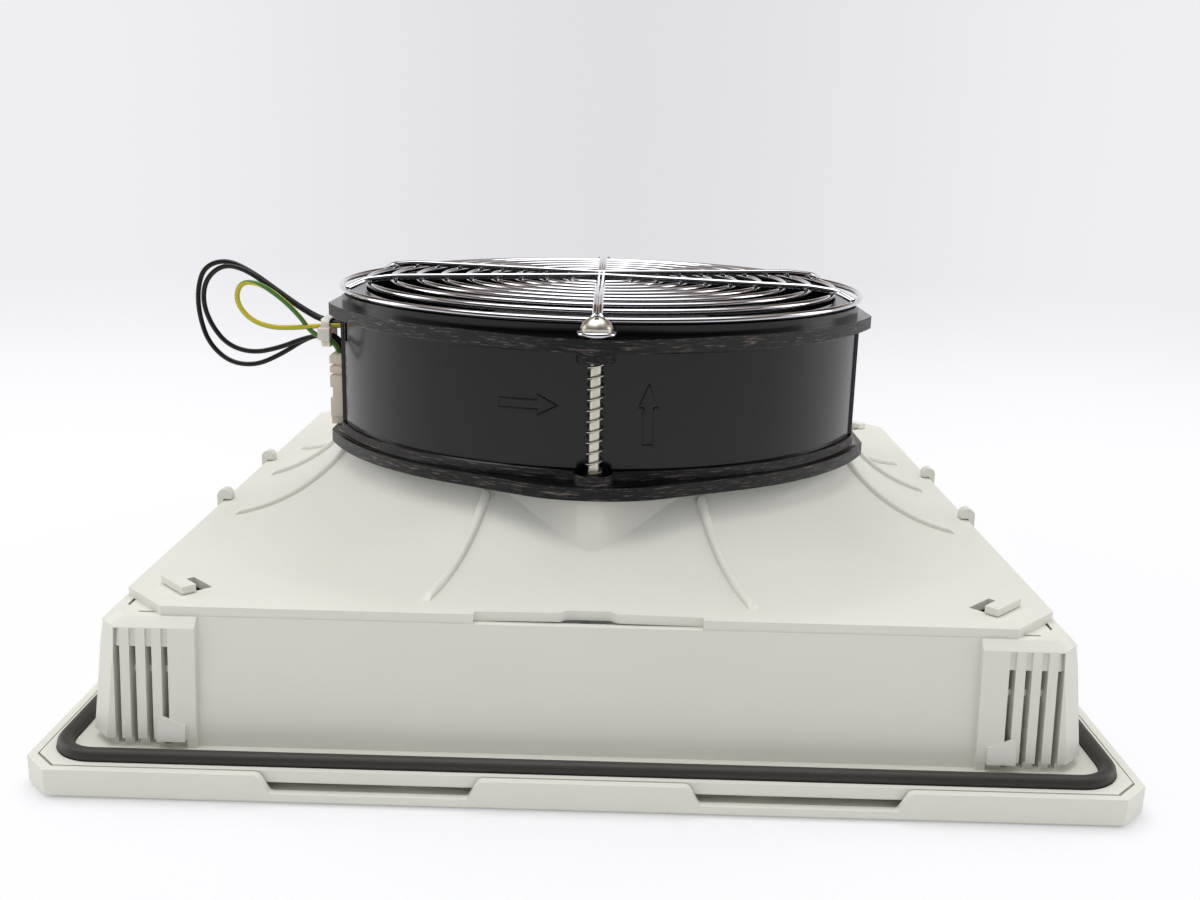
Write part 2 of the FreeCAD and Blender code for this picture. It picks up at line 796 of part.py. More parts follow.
def make_setback():
    """Step back of the hood's front edge, with a deeper notch in its middle."""
    y = -hood_half
    deep = y + setback_depth + setback_notch_depth
    return polygon_face([
        V(-setback_half, y - 1, hood_bottom - 1), V(setback_half, y - 1, hood_bottom - 1),
        V(setback_half, y + setback_depth, hood_bottom - 1),
        V(setback_notch_half + 2, y + setback_depth, hood_bottom - 1),
        V(setback_notch_half, deep, hood_bottom - 1), V(-setback_notch_half, deep, hood_bottom - 1),
        V(-setback_notch_half - 2, y + setback_depth, hood_bottom - 1),
        V(-setback_half, y + setback_depth, hood_bottom - 1),
    ]).extrude(V(0, 0, hood_thickness + 4))


def make_fan_hood():
    plate = prism(hood_half, hood_corner, hood_bottom, hood_plate_top)
    plate = plate.cut(Part.makeCylinder(bell_foot_radius - 0.5, 20, V(0, 0, hood_bottom - 1)))
    gusset = make_gusset()
    gussets = [gusset, mirrored_y(gusset)]
    skin = fuse([plate, make_bell()] + make_ribs())
    extras = fuse(gussets).cut(make_bell_core())
    skin = skin.fuse(extras).removeSplitter()
    skin = skin.common(prism(hood_half, hood_corner, hood_bottom, hood_top))
    opening = box(-latch_opening_depth / 2, latch_opening_depth / 2, -latch_opening_length / 2,
                  latch_opening_length / 2, hood_bottom - 1, hood_plate_top + 1)
    opening.translate(V(latch_place * math.sqrt(2), 0, 0))
    cuts = latch_frame(opening)
    setback = make_setback()
    cuts += [setback, mirrored_y(setback)]
    for side in (-1, 1):
        cuts.append(Part.makeCylinder(pilot_radius, pilot_depth,
                                      V(0, side * screw_radius_place, hood_top - pilot_depth)))
    return skin.cut(Part.makeCompound(cuts)).removeSplitter()


def make_fan_flange(z0):
    """Round flange with two flats and a lug at the front and the back."""
    plate = Part.makeCylinder(fan_flange_radius, flange_plate, V(0, 0, z0))
    plate = plate.common(box(-fan_flat, fan_flat, -fan_flange_radius, fan_flange_radius, z0, z0 + flange_plate))
    angle = math.radians(lug_tangent_angle)
    x = fan_flange_radius * math.cos(angle)
    y = fan_flange_radius * math.sin(angle)
    lug = polygon_face([
        V(-lug_nose_half, -lug_reach, z0), V(lug_nose_half, -lug_reach, z0), V(x, -y, z0),
        V(0, 0, z0), V(-x, -y, z0),
    ]).extrude(V(0, 0, flange_plate))
    nose_edges = [edge for edge in lug.Edges if abs(abs(edge.CenterOfMass.x) - lug_nose_half) < 0.01
                  and edge.CenterOfMass.y < -lug_reach + 0.01]
    lug = lug.makeFillet(lug_nose_round, nose_edges)
    return fuse([plate, lug, mirrored_y(lug)])


def barrel_solid(radius, flat, z0, z1):
    wall = Part.makeCylinder(radius, z1 - z0, V(0, 0, z0))
    return wall.common(box(-flat, flat, -radius, radius, z0, z1))


def make_struts():
    """Arms from the barrel to the motor's seat, under the impeller."""
    struts = []
    for index in range(strut_count):
        angle = strut_turn + index * 360.0 / strut_count
        strut = box(seat_radius - 2, bore_radius + 2, -strut_width / 2, strut_width / 2,
                    fan_bottom, fan_bottom + strut_thickness)
        struts.append(turned(strut, angle))
    return struts


def make_lug_bosses():
    bosses = []
    for side in (-1, 1):
        y = side * screw_radius_place
        bosses.append(Part.makeCylinder(lug_boss_radius, lug_boss_height, V(0, y, lower_flange_top)))
        bosses.append(Part.makeCylinder(lug_boss_radius, lug_boss_height,
                                        V(0, y, upper_flange_bottom - lug_boss_height)))
    return bosses


def make_fan_frame():
    """Die-cast barrel, flanges, struts, motor seat and bearing tube, in one casting."""
    barrel = barrel_solid(barrel_radius, barrel_flat, fan_bottom, fan_top + spigot_height)
    foot_bead = barrel_solid(barrel_radius + bead_proud, barrel_flat + bead_proud / 2, lower_flange_top,
                             lower_flange_top + bead_height)
    head_bead = barrel_solid(barrel_radius + bead_proud / 2, barrel_flat, upper_flange_bottom - bead_height / 2,
                             upper_flange_bottom)
    corner_y = math.sqrt(barrel_radius ** 2 - barrel_flat ** 2)
    corner_ribs = []
    for sx in (-1, 1):
        for sy in (-1, 1):
            x0, x1 = sorted((sx * (barrel_flat - 2), sx * (barrel_flat + corner_rib_proud)))
            y0, y1 = sorted((sy * (corner_y - corner_rib_width), sy * corner_y))
            corner_ribs.append(box(x0, x1, y0, y1, lower_flange_top, upper_flange_bottom))
    shell = fuse([barrel, foot_bead, head_bead, make_fan_flange(fan_bottom),
                  make_fan_flange(upper_flange_bottom)] + corner_ribs + make_lug_bosses())
    bore = Part.makeCylinder(bore_radius, fan_height + spigot_height + 2, V(0, 0, fan_bottom - 1))
    inlet = Part.makeCone(inlet_radius, bore_radius, inlet_depth, V(0, 0, fan_bottom), UP)
    holes = []
    for side in (-1, 1):
        holes.append(Part.makeCylinder(screw_hole_radius, fan_height + 2,
                                       V(0, side * screw_radius_place, fan_bottom - 1)))
        holes.append(Part.makeCylinder(spigot_pocket, spigot_height + 1,
                                       V(0, side * screw_radius_place, fan_top)))
    slot = box(bore_radius - 4, barrel_radius + 3, -lead_slot_width / 2, lead_slot_width / 2,
               upper_flange_bottom - lead_slot_height, upper_flange_bottom)
    holes.append(turned(slot, lead_slot_turn))
    for y in (outer_route[0][1], inner_route[0][1], earth_route[0][1]):
        holes.append(rod(lead_radius + 0.5, V(-barrel_flat - 2, y, outer_route[0][2]),
                         V(-barrel_flat + 12, y, outer_route[0][2])))
    shell = shell.cut(Part.makeCompound([bore, inlet] + holes))
    seat = Part.makeCylinder(seat_radius, seat_thickness, V(0, 0, fan_bottom))
    tube = Part.makeCylinder(tube_outer, tube_top - fan_bottom, V(0, 0, fan_bottom))
    motor = fuse([seat, tube] + make_struts())
    motor = motor.cut(Part.makeCylinder(bearing_radius + seat_play, tube_top, V(0, 0, tube_bottom)))
    return fuse([shell, motor])


def make_stator_core():
    """Laminated stator: a ring with teeth that open to the air gap."""
    core = tube_ring(stator_radius, tube_outer + seat_play, stator_bottom, stator_bottom + stator_height)
    slots = []
    for index in range(stator_teeth):
        slot = box(tube_outer + 6, stator_radius - 3, -2.2, 2.2, stator_bottom - 1, stator_bottom + stator_height + 1)
        mouth = box(stator_radius - 4, stator_radius + 1, -0.8, 0.8, stator_bottom - 1,
                    stator_bottom + stator_height + 1)
        slots += [turned(slot, index * 360.0 / stator_teeth), turned(mouth, index * 360.0 / stator_teeth)]
    return core.cut(Part.makeCompound(slots))


def make_windings():
    """End turns of the coils, one bundle below the core and one above it."""
    low = tube_ring(winding_radius, tube_outer + 4, stator_bottom - winding_height, stator_bottom)
    high_z = stator_bottom + stator_height
    high = tube_ring(winding_radius, tube_outer + 4, high_z, high_z + winding_height)
    return Part.makeCompound([low, high])


def make_bearing(z):
    """Ball bearing as its two rings with the space between them closed."""
    body = tube_ring(bearing_radius, shaft_radius + running_play, z, z + bearing_width)
    middle = (shaft_radius + bearing_radius) / 2
    groove = tube_ring(middle + 1.2, middle - 1.2, z - 1, z + 0.4)
    top = groove.copy()
    top.translate(V(0, 0, bearing_width + 0.6))
    return body.cut(Part.makeCompound([groove, top]))


def make_preload_spring():
    low = lower_bearing_z + bearing_width
    return tube_ring(bearing_radius - 0.1, bearing_radius - 2.4, low, low + spring_thickness)


def make_shaft():
    low = tube_bottom + 0.6
    shaft = Part.makeCylinder(shaft_radius, cup_top - cup_wall - low, V(0, 0, low))
    groove_z = lower_bearing_z - circlip_thickness - 0.3
    groove = tube_ring(shaft_radius + 1, shaft_radius - 0.4, groove_z, groove_z + circlip_thickness)
    return shaft.cut(groove)


def make_circlip():
    z = lower_bearing_z - circlip_thickness - 0.3
    clip = tube_ring(circlip_radius, shaft_radius - 0.4, z, z + circlip_thickness)
    return clip.cut(box(0, circlip_radius + 1, -1.2, 1.2, z - 1, z + 2))


def make_rotor_cup():
    """Pressed cup of the outer rotor, with a slightly domed top."""
    shell = Part.makeCylinder(cup_radius, cup_top - cup_bottom, V(0, 0, cup_bottom))
    dome_radius = (cup_radius ** 2 + cup_dome ** 2) / (2 * cup_dome)
    dome = Part.makeSphere(dome_radius, V(0, 0, cup_top + cup_dome - dome_radius))
    cap = Part.makeCylinder(cup_radius, cup_dome + 1, V(0, 0, cup_top - 0.5)).common(dome)
    inside = Part.makeCylinder(cup_inner, cup_top - cup_wall - cup_bottom, V(0, 0, cup_bottom))
    boss = Part.makeCylinder(shaft_radius + 3, 4.0, V(0, 0, cup_top - cup_wall - 4.0))
    cup = fuse([fuse([shell, cap]).cut(inside), boss])
    return cup.cut(Part.makeCylinder(shaft_radius, cup_top - cup_wall - cup_bottom, V(0, 0, cup_bottom)))


def make_rotor_cage():
    return tube_ring(cup_inner, cage_inner, stator_bottom, stator_bottom + stator_height)


def blade_section(radius, chord, pitch, sweep):
    """Closed cambered section of a blade in the plane X = radius."""
    slope = math.radians(pitch)
    along = V(0, math.cos(slope), math.sin(slope))
    across = V(0, -math.sin(slope), math.cos(slope))
    centre = V(radius, sweep, blade_middle)
    half = chord / 2
    edge = blade_thickness * 0.3
    full = blade_thickness / 2

    def at(u, v):
        return centre + along * u + across * v

    upper = Part.Arc(at(-half, edge), at(0, blade_camber + full), at(half, edge)).toShape()
    lower = Part.Arc(at(half, -edge), at(0, blade_camber - full), at(-half, -edge)).toShape()
    nose = Part.makeLine(at(half, edge), at(half, -edge))
    tail = Part.makeLine(at(-half, -edge), at(-half, edge))
    return Part.Wire([upper, nose, lower, tail])


def make_impeller():
    """Hub ring on the rotor cup and its twisted, swept blades."""
    hub_outer = cup_radius + hub_wall
    stations = 4
    sections = []
    for index in range(stations):
        share = index / (stations - 1)
        radius = cup_radius + 0.6 + share * (impeller_radius + 1 - cup_radius)
        chord = blade_root_chord + share * (blade_tip_chord - blade_root_chord)
        pitch = blade_root_pitch + share * (blade_tip_pitch - blade_root_pitch)
        sections.append(blade_section(radius, chord, pitch, blade_sweep * share ** 2))
    blade = Part.makeLoft(sections, True)
    bound = tube_ring(impeller_radius, cup_radius + hub_wall / 2, cup_bottom - 4, cup_top + 4)
    blade = blade.common(bound)
    blades = [turned(blade, index * 360.0 / blade_count) for index in range(blade_count)]
    hub = tube_ring(hub_outer, cup_radius, cup_bottom + 1, cup_top)
    return fuse([hub] + blades)


def guard_rise(index):
    rises = (guard_rise_outer, guard_rise_second, guard_rise_third)
    return rises[index] if index < len(rises) else guard_rise_inner


def make_wire_ring(radius, wire, z):
    """Ring of wire, its section a regular polygon turned round the Z axis."""
    points = []
    for index in range(wire_sides):
        angle = (index + 0.5) * 2 * math.pi / wire_sides
        points.append(V(radius + wire * math.cos(angle), 0, z + wire * math.sin(angle)))
    return polygon_face(points).revolve(V(0, 0, 0), UP, 360)


def make_bent_rod(radius, points):
    """Wire through the given points, with round elbows."""
    pieces = [rod(radius, points[i], points[i + 1]) for i in range(len(points) - 1)]
    pieces += [Part.makeSphere(radius, point) for point in points[1:-1]]
    return pieces


def make_cross_rod(side):
    """Rod bent at the fan's axis, that lies on the rings and ends on the outer one."""
    lift = guard_wire + rod_wire - weld_sink
    foot_x = guard_ring_radius * math.cos(math.radians(rod_foot_angle))
    foot_y = guard_ring_radius * math.sin(math.radians(rod_foot_angle))
    half = [
        V(rod_knee, side * (rod_middle + rod_slope * rod_knee), fan_top + guard_rise_inner + lift),
        V(rod_reach, side * (rod_middle + rod_slope * rod_reach), fan_top + guard_rise_second + lift),
        V(foot_x, side * foot_y, fan_top + guard_rise_outer + guard_wire),
    ]
    middle = V(0, side * rod_middle, fan_top + guard_rise_inner + lift)
    points = [V(-p.x, p.y, p.z) for p in reversed(half)] + [middle] + half
    return make_bent_rod(rod_wire, points)


def make_screw_arm(side, leg):
    """One wire of a double arm, from beside the axis over the rings and down beside the screw head."""
    lift = guard_wire + arm_wire - weld_sink
    x = leg * arm_wire * 1.02
    second = guard_ring_radius - guard_ring_pitch
    third = second - guard_ring_pitch
    screw = screw_radius_place
    points = [
        V(x, side * (rod_middle - 1), fan_top + guard_rise_inner + lift),
        V(x, side * (third - guard_ring_pitch), fan_top + guard_rise_inner + lift),
        V(x, side * second, fan_top + guard_rise_second + lift),
        V(leg * 1.9, side * (guard_ring_radius - 1), fan_top + guard_rise_outer + lift),
        V(leg * 4.9, side * (screw - 4.4), eye_z + 3.4),
        V(leg * 6.2, side * (screw - 1.6), eye_z + 1.1),
        V(leg * math.sqrt(eye_radius ** 2 - 1), side * (screw + 1.0), eye_z),
    ]
    return make_bent_rod(arm_wire, points)


def make_finger_guard():
    """Rings welded under two bent cross rods and two double arms that end in screw eyes."""
    pieces = []
    for index in range(guard_ring_count):
        radius = guard_ring_radius - index * guard_ring_pitch
        pieces.append(make_wire_ring(radius, guard_wire, fan_top + guard_rise(index)))
    for side in (-1, 1):
        pieces += make_cross_rod(side)
        pieces += make_screw_arm(side, -1) + make_screw_arm(side, 1)
        eye = make_wire_ring(eye_radius, eye_wire, eye_z)
        eye.translate(V(0, side * screw_radius_place, 0))
        pieces.append(eye)
    return pieces[0].multiFuse(pieces[1:])


def make_guard_screw(side):
    """Pan head screw that runs past the barrel and into the hood's boss."""
    y = side * screw_radius_place
    tip_z = hood_top - screw_bite
    core = Part.makeCylinder(screw_core_radius, head_z - tip_z, V(0, y, tip_z))
    dome_radius = (screw_head_radius ** 2 + screw_head_height ** 2) / (2 * screw_head_height)
    ball = Part.makeSphere(dome_radius, V(0, y, head_z + screw_head_height - dome_radius))
    head = Part.makeCylinder(screw_head_radius, screw_head_height, V(0, y, head_z)).common(ball)
    top = head_z + screw_head_height
    slots = []
    for turn in (0, 90):
        slot = box(-screw_head_radius * 0.55, screw_head_radius * 0.55, -cross_width / 2, cross_width / 2,
                   top - cross_depth, top + 1)
        slot.rotate(V(0, 0, 0), UP, turn)
        slot.translate(V(0, y, 0))
        slots.append(slot)
    return fuse([core, head]).cut(Part.makeCompound(slots))


def make_washer(side):
    washer = tube_ring(washer_radius, screw_core_radius + 0.3, washer_z, head_z)
    washer.translate(V(0, side * screw_radius_place, 0))
    return washer


def make_terminal_block():
    """Block on the barrel's flat, standing on the lower flange, with two grip grooves and clamp holes."""
    body = box(-block_outer, -barrel_flat - corner_rib_proud - 0.05, block_low_y, block_high_y,
               lower_flange_top + bead_height, block_top)
    foot = box(-block_outer, -barrel_flat - bead_proud, block_low_y + 1, block_high_y - 1,
               lower_flange_top + 0.05, lower_flange_top + bead_height)
    cuts = []
    for depth in block_grooves:
        z = block_top - depth
        cuts.append(box(-block_outer - 1, -block_outer + 2.2, block_low_y - 1, block_high_y + 1,
                        z - block_groove / 2, z + block_groove / 2))
        cuts.append(box(-block_outer - 1, 0, block_low_y - 1, block_low_y + 0.8, z - block_groove / 2,
                        z + block_groove / 2))
    cuts.append(box(-block_outer - 1, -block_outer + 0.9, block_low_y - 1, block_high_y + 1,
                    lower_flange_top + 10, block_top - 12))
    for y in clamp_places():
        cuts.append(rod(clamp_screw_radius + 0.3, V(-block_outer - 1, y, clamp_z()), V(-block_outer + 3, y, clamp_z())))
    return fuse([body, foot]).cut(Part.makeCompound(cuts))


def clamp_places():
    middle = (block_low_y + block_high_y) / 2
    return [middle - clamp_pitch, middle, middle + clamp_pitch]


def clamp_z():
    return lower_flange_top + bead_height + clamp_inset


def make_terminal_screws():
    screws = []
    for y in clamp_places():
        start = V(-block_outer + 3, y, clamp_z())
        screw = rod(clamp_screw_radius, start, V(-block_outer + clamp_proud, y, clamp_z()))
        slot = box(-block_outer, -block_outer + 1.2, y - 0.35, y + 0.35, clamp_z() - 3, clamp_z() + 3)
        screws.append(screw.cut(slot))
    return Part.makeCompound(screws)


def make_grommet():
    """Plate on the barrel's flat that the three leads pass through."""
    z = outer_route[0][2]
    body = box(-barrel_flat - grommet_length, -barrel_flat - 0.02, earth_route[0][1] - grommet_radius,
               outer_route[0][1] + grommet_radius, z - grommet_radius + 0.6, z + grommet_radius - 0.6)
    return body


def make_lead(name, route):
    """Tube along straight runs joined by tangent arcs; prints each arc's radius."""
    points = [V(*point) for point in route]
    edges = []
    radii = []
    start = points[0]
    for before, here, after in zip(points, points[1:], points[2:]):
        back = before.sub(here)
        ahead = after.sub(here)
        turn = math.pi - back.getAngle(ahead)
        tangent = 0.45 * min(back.Length, ahead.Length)
        radii.append(tangent / math.tan(turn / 2))
        back.normalize()
        ahead.normalize()
        first = here + back * tangent
        last = here + ahead * tangent
        bisector = back + ahead
        bisector.normalize()
        apex = math.hypot(tangent, radii[-1]) - radii[-1]
        edges.append(Part.LineSegment(start, first).toShape())
        edges.append(Part.Arc(first, here + bisector * apex, last).toShape())
        start = last
    edges.append(Part.LineSegment(start, points[-1]).toShape())
    path = Part.Wire(edges)
    direction = points[1].sub(points[0])
    profile = Part.Wire(Part.makeCircle(lead_radius, points[0], direction))
    tube = path.makePipeShell([profile], True, False)
    expected = math.pi * lead_radius ** 2 * path.Length
    print(name, "length", round(path.Length, 1), "radii", [round(r, 1) for r in radii],
          "volume ratio", round(tube.Volume / expected, 4))
    return tube


def rounded_block(x0, x1, half_y, half_z, corner):
    """Block along X about the tie's middle, with its four long edges rounded."""
    block = box(x0, x1, tie_middle_y - half_y, tie_middle_y + half_y, tie_middle_z - half_z, tie_middle_z + half_z)
    edges = [edge for edge in block.Edges if abs(edge.BoundBox.XLength - (x1 - x0)) < 0.01]
    return block.makeFillet(corner, edges)


def make_cable_tie():
    """Flat band round the outgoing and returning leads, with its square lock."""
    low = tie_place - tie_width / 2
    high = tie_place + tie_width / 2
    outer = rounded_block(low, high, tie_half_length + tie_thickness, tie_half_height + tie_thickness, 2.2)
    inner = rounded_block(low - 3, high + 3, tie_half_length, tie_half_height, 1.4)
    front = tie_middle_y - tie_half_length
    lock = box(tie_place - tie_head / 2, tie_place + tie_head / 2, front - 3.4, front,
               tie_middle_z - tie_head / 2, tie_middle_z + tie_head / 2)
    return fuse([outer.cut(inner), lock])


def main():
    os.makedirs("parts", exist_ok=True)
    save("front_cover", make_front_cover())
    save("housing_frame", make_housing_frame())
    save("sealing_gasket", make_gasket())
    save("filter_mat", make_filter_mat())
    save("support_grid", make_support_grid())
    save("fan_hood", make_fan_hood())
    save("fan_frame", make_fan_frame())
    save("stator_core", make_stator_core())
    save("motor_windings", make_windings())
    save("lower_bearing", make_bearing(lower_bearing_z))
    save("upper_bearing", make_bearing(upper_bearing_z))
    save("preload_spring", make_preload_spring())
    save("motor_shaft", make_shaft())
    save("shaft_circlip", make_circlip())
    save("rotor_cup", make_rotor_cup())
    save("rotor_cage", make_rotor_cage())
    save("impeller", make_impeller())
    save("finger_guard", make_finger_guard())
    save("guard_screws", Part.makeCompound([make_guard_screw(-1), make_guard_screw(1)]))
    save("guard_washers", Part.makeCompound([make_washer(-1), make_washer(1)]))
    save("terminal_block", make_terminal_block())
    save("terminal_screws", make_terminal_screws())
    save("lead_grommet", make_grommet())
    save("lead_black_outer", make_lead("lead_black_outer", outer_route))
    save("lead_black_inner", make_lead("lead_black_inner", inner_route))
    save("lead_earth", make_lead("lead_earth", earth_route))
    save("cable_tie", make_cable_tie())


main()
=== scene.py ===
"""Looks of a cabinet filter fan that lies on its front cover.

Metres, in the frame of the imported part: X runs along the edge with the pry notches, Y away from it and
Z into the cabinet, and the origin is the centre of the cover's outer face.
"""

import logging
import math
from dataclasses import dataclass, replace
from enum import Enum
from typing import Any, Optional, Sequence

import bmesh
import bpy
import numpy as np
from mathutils import Matrix, Vector


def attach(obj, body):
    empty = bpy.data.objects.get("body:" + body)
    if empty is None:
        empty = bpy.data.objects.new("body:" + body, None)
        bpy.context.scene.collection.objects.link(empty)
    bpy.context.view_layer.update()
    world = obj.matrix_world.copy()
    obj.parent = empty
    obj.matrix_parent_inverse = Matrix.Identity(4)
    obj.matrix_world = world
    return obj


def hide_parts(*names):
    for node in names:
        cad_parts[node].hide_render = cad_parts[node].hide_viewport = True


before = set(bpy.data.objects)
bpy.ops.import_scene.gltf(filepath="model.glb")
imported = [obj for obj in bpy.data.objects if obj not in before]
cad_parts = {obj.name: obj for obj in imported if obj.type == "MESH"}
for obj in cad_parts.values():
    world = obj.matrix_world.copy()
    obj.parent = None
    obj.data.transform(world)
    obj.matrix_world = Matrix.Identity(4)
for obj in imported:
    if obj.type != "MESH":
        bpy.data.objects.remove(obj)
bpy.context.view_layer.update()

log = logging.getLogger("filter_fan")
Array = np.ndarray
Point = tuple[float, float, float]
Piece = bpy.types.Object
Material = bpy.types.Material
Tree = bpy.types.NodeTree
Node = bpy.types.Node
Socket = bpy.types.NodeSocket

MM = 0.001
# metres within which two vertices of a mesh are one
MERGE = 2e-6
# degrees under which neighbouring triangles are one flat face
FLAT = 0.4
# millimetres by which a point may miss a turned face, and the least cosine of a facet to its true normal
ON_FACE = 0.03
ALIGNED = 0.97
# share of a run that the curve at one of its corners may take
CORNER_SHARE = 0.48
# rings on the domed end of a wire
DOME_RINGS = 3


# Small tools for meshes


def grid_faces(rows: int, columns: int, close_rows: bool = False, close_columns: bool = False) -> Array:
    """Quads of a grid of points that is numbered row by row.

    Args:
        rows: number of rows of points.
        columns: number of points in a row.
        close_rows: whether the last row joins the first.
        close_columns: whether the end of each row joins its start.

    Returns:
        An array of quads, four point numbers each.
    """
    row = np.arange(rows if close_rows else rows - 1)
    column = np.arange(columns if close_columns else columns - 1)
    i, j = np.meshgrid(row, column, indexing="ij")
    below = (i + 1) % rows
    beside = (j + 1) % columns
    here = i * columns
    there = below * columns
    return np.stack([here + j, there + j, there + beside, here + beside], axis=-1).reshape(-1, 4)


@dataclass
class Surface:
    """A mesh as whole arrays: points in millimetres, quads, and perhaps the places along and round it."""

    points: Array
    faces: Array
    places: Optional[Array] = None

    def moved(self, x: float, y: float, z: float) -> "Surface":
        """The surface shifted by x, y and z millimetres."""
        return Surface(self.points + np.array([x, y, z]), self.faces, self.places)


def join_all(surfaces: Sequence[Surface]) -> Surface:
    """One surface out of several, without their places.

    Args:
        surfaces: what to join.

    Returns:
        The joined surface.
    """
    first = np.cumsum([0] + [len(surface.points) for surface in surfaces])
    faces = [surface.faces + start for surface, start in zip(surfaces, first)]
    return Surface(np.concatenate([surface.points for surface in surfaces]), np.concatenate(faces))


def rounded_path(corners: Array, cut: float, steps: int = 7) -> Array:
    """Polyline whose corners are replaced by parabolas.

    Each inner corner c with cut-back points a and b gives (1-t)^2 a + 2t(1-t) c + t^2 b.

    Args:
        corners: the polyline's points.
        cut: how far the curve starts before a corner.
        steps: points on each curve.

    Returns:
        The points of the rounded line.
    """
    before, here, after = corners[:-2], corners[1:-1], corners[2:]
    back = before - here
    ahead = after - here
    back_length = np.linalg.norm(back, axis=1, keepdims=True)
    ahead_length = np.linalg.norm(ahead, axis=1, keepdims=True)
    start = here + back / back_length * np.minimum(cut, CORNER_SHARE * back_length)
    end = here + ahead / ahead_length * np.minimum(cut, CORNER_SHARE * ahead_length)
    t = np.linspace(0.0, 1.0, steps)[None, :, None]
    curve = (1 - t) ** 2 * start[:, None] + 2 * t * (1 - t) * here[:, None] + t**2 * end[:, None]
    return np.concatenate([corners[:1], curve.reshape(-1, 3), corners[-1:]])


def quadratic_spline(controls: Array, steps: int) -> Array:
    """Uniform quadratic B-spline that starts and ends on its end controls.

    Each inner control c is joined from the middle of the run before it to the middle of the run after it
    by (1-t)^2 m0 + 2t(1-t) c + t^2 m1, and the end controls take the place of the outer middles.

    Args:
        controls: the control points.
        steps: points on each span.

    Returns:
        The points of the curve.
    """
    middles = (controls[1:] + controls[:-1]) / 2
    middles[0], middles[-1] = controls[0], controls[-1]
    t = np.linspace(0.0, 1.0, steps, endpoint=False)[None, :, None]
    inner = controls[1:-1, None]
    curve = (1 - t) ** 2 * middles[:-1, None] + 2 * t * (1 - t) * inner + t**2 * middles[1:, None]
    return np.concatenate([curve.reshape(-1, 3), controls[-1:]])


def swept_tube(path: Array, radius: float, sides: int, reference: Sequence[float]) -> Surface:
    """Round wire along an open path, with domed ends.

    A point is p + r (cos u n + sin u b), where n is square to the path and to the reference direction and b
    completes the frame. The radius falls as the cosine of an angle over the last rings at either end.

    Args:
        path: points of the centreline.
        radius: the wire's radius.
        sides: points round the wire.
        reference: a direction that the path never follows.

    Returns:
        The tube, with its place along and round the wire.
    """
    dome = np.linspace(0.0, math.pi / 2, DOME_RINGS + 1)[1:]
    first = path[0] - path[1]
    last = path[-1] - path[-2]
    head = path[0] + first / np.linalg.norm(first) * radius * np.sin(dome[::-1])[:, None]
    tail = path[-1] + last / np.linalg.norm(last) * radius * np.sin(dome)[:, None]
    line = np.concatenate([head, path, tail])
    radii = np.concatenate([np.cos(dome[::-1]), np.ones(len(path)), np.cos(dome)]) * radius
    tangent = np.gradient(line, axis=0)
    tangent /= np.linalg.norm(tangent, axis=1, keepdims=True)
    normal = np.cross(tangent, np.asarray(reference, float))
    normal /= np.linalg.norm(normal, axis=1, keepdims=True)
    side = np.cross(tangent, normal)
    u = np.arange(sides) * 2 * math.pi / sides
    ring = normal[:, None] * np.cos(u)[None, :, None] + side[:, None] * np.sin(u)[None, :, None]
    points = line[:, None] + ring * radii[:, None, None]
    along = np.concatenate([[0.0], np.cumsum(np.linalg.norm(np.diff(line, axis=0), axis=1))])
    places = np.stack(np.broadcast_arrays(along[:, None], (u / (2 * math.pi))[None, :]), axis=-1)
    faces = grid_faces(len(line), sides, close_columns=True)
    return Surface(points.reshape(-1, 3), faces, places.reshape(-1, 2))


def ring_tube(radius: float, wire: float, z: float, around: int, sides: int) -> Surface:
    """Closed ring of round wire: ((R + r cos v) cos u, (R + r cos v) sin u, z + r sin v).

    Args:
        radius: centreline radius R.
        wire: wire radius r.
        z: height of the centreline.
        around: points round the ring.
        sides: points round the wire.

    Returns:
        The ring.
    """
    u = np.arange(around)[:, None] * 2 * math.pi / around
    v = np.arange(sides)[None, :] * 2 * math.pi / sides
    reach = radius + wire * np.cos(v)
    parts = np.broadcast_arrays(reach * np.cos(u), reach * np.sin(u), z + wire * np.sin(v))
    return Surface(np.stack(parts, axis=-1).reshape(-1, 3), grid_faces(around, sides, True, True))

def square_path(half: float, corner: float, steps: int) -> tuple[Array, Array]:
    """Points and outward normals of a square with round corners, one corner after another.

    Along a corner, p = c + r (cos a, sin a), and the corners' ends are joined straight.

    Args:
        half: half the square's side.
        corner: the corners' radius.
        steps: points on each corner.

    Returns:
        The points and the normals.
    """
    a = np.linspace(0.0, math.pi / 2, steps)[None] + np.arange(4)[:, None] * math.pi / 2
    middle = np.arange(4) * math.pi / 2 + math.pi / 4
    centre = math.sqrt(2) * (half - corner) * np.stack([np.cos(middle), np.sin(middle)], axis=1)
    normal = np.stack([np.cos(a), np.sin(a)], axis=-1)
    points = centre[:, None] + corner * normal
    return points.reshape(-1, 2), normal.reshape(-1, 2)


def read_all(items: Any, name: str, width: int = 1, kind: type = np.float32) -> Array:
    """One attribute of every item of a mesh.

    Args:
        items: the mesh's vertices, polygons, loops or corner normals.
        name: the attribute.
        width: how many numbers each item has.
        kind: their type.

    Returns:
        The numbers, in rows where an item has more than one.
    """
    values = np.zeros(len(items) * width, kind)
    items.foreach_get(name, values)
    return values.reshape(-1, width) if width > 1 else values


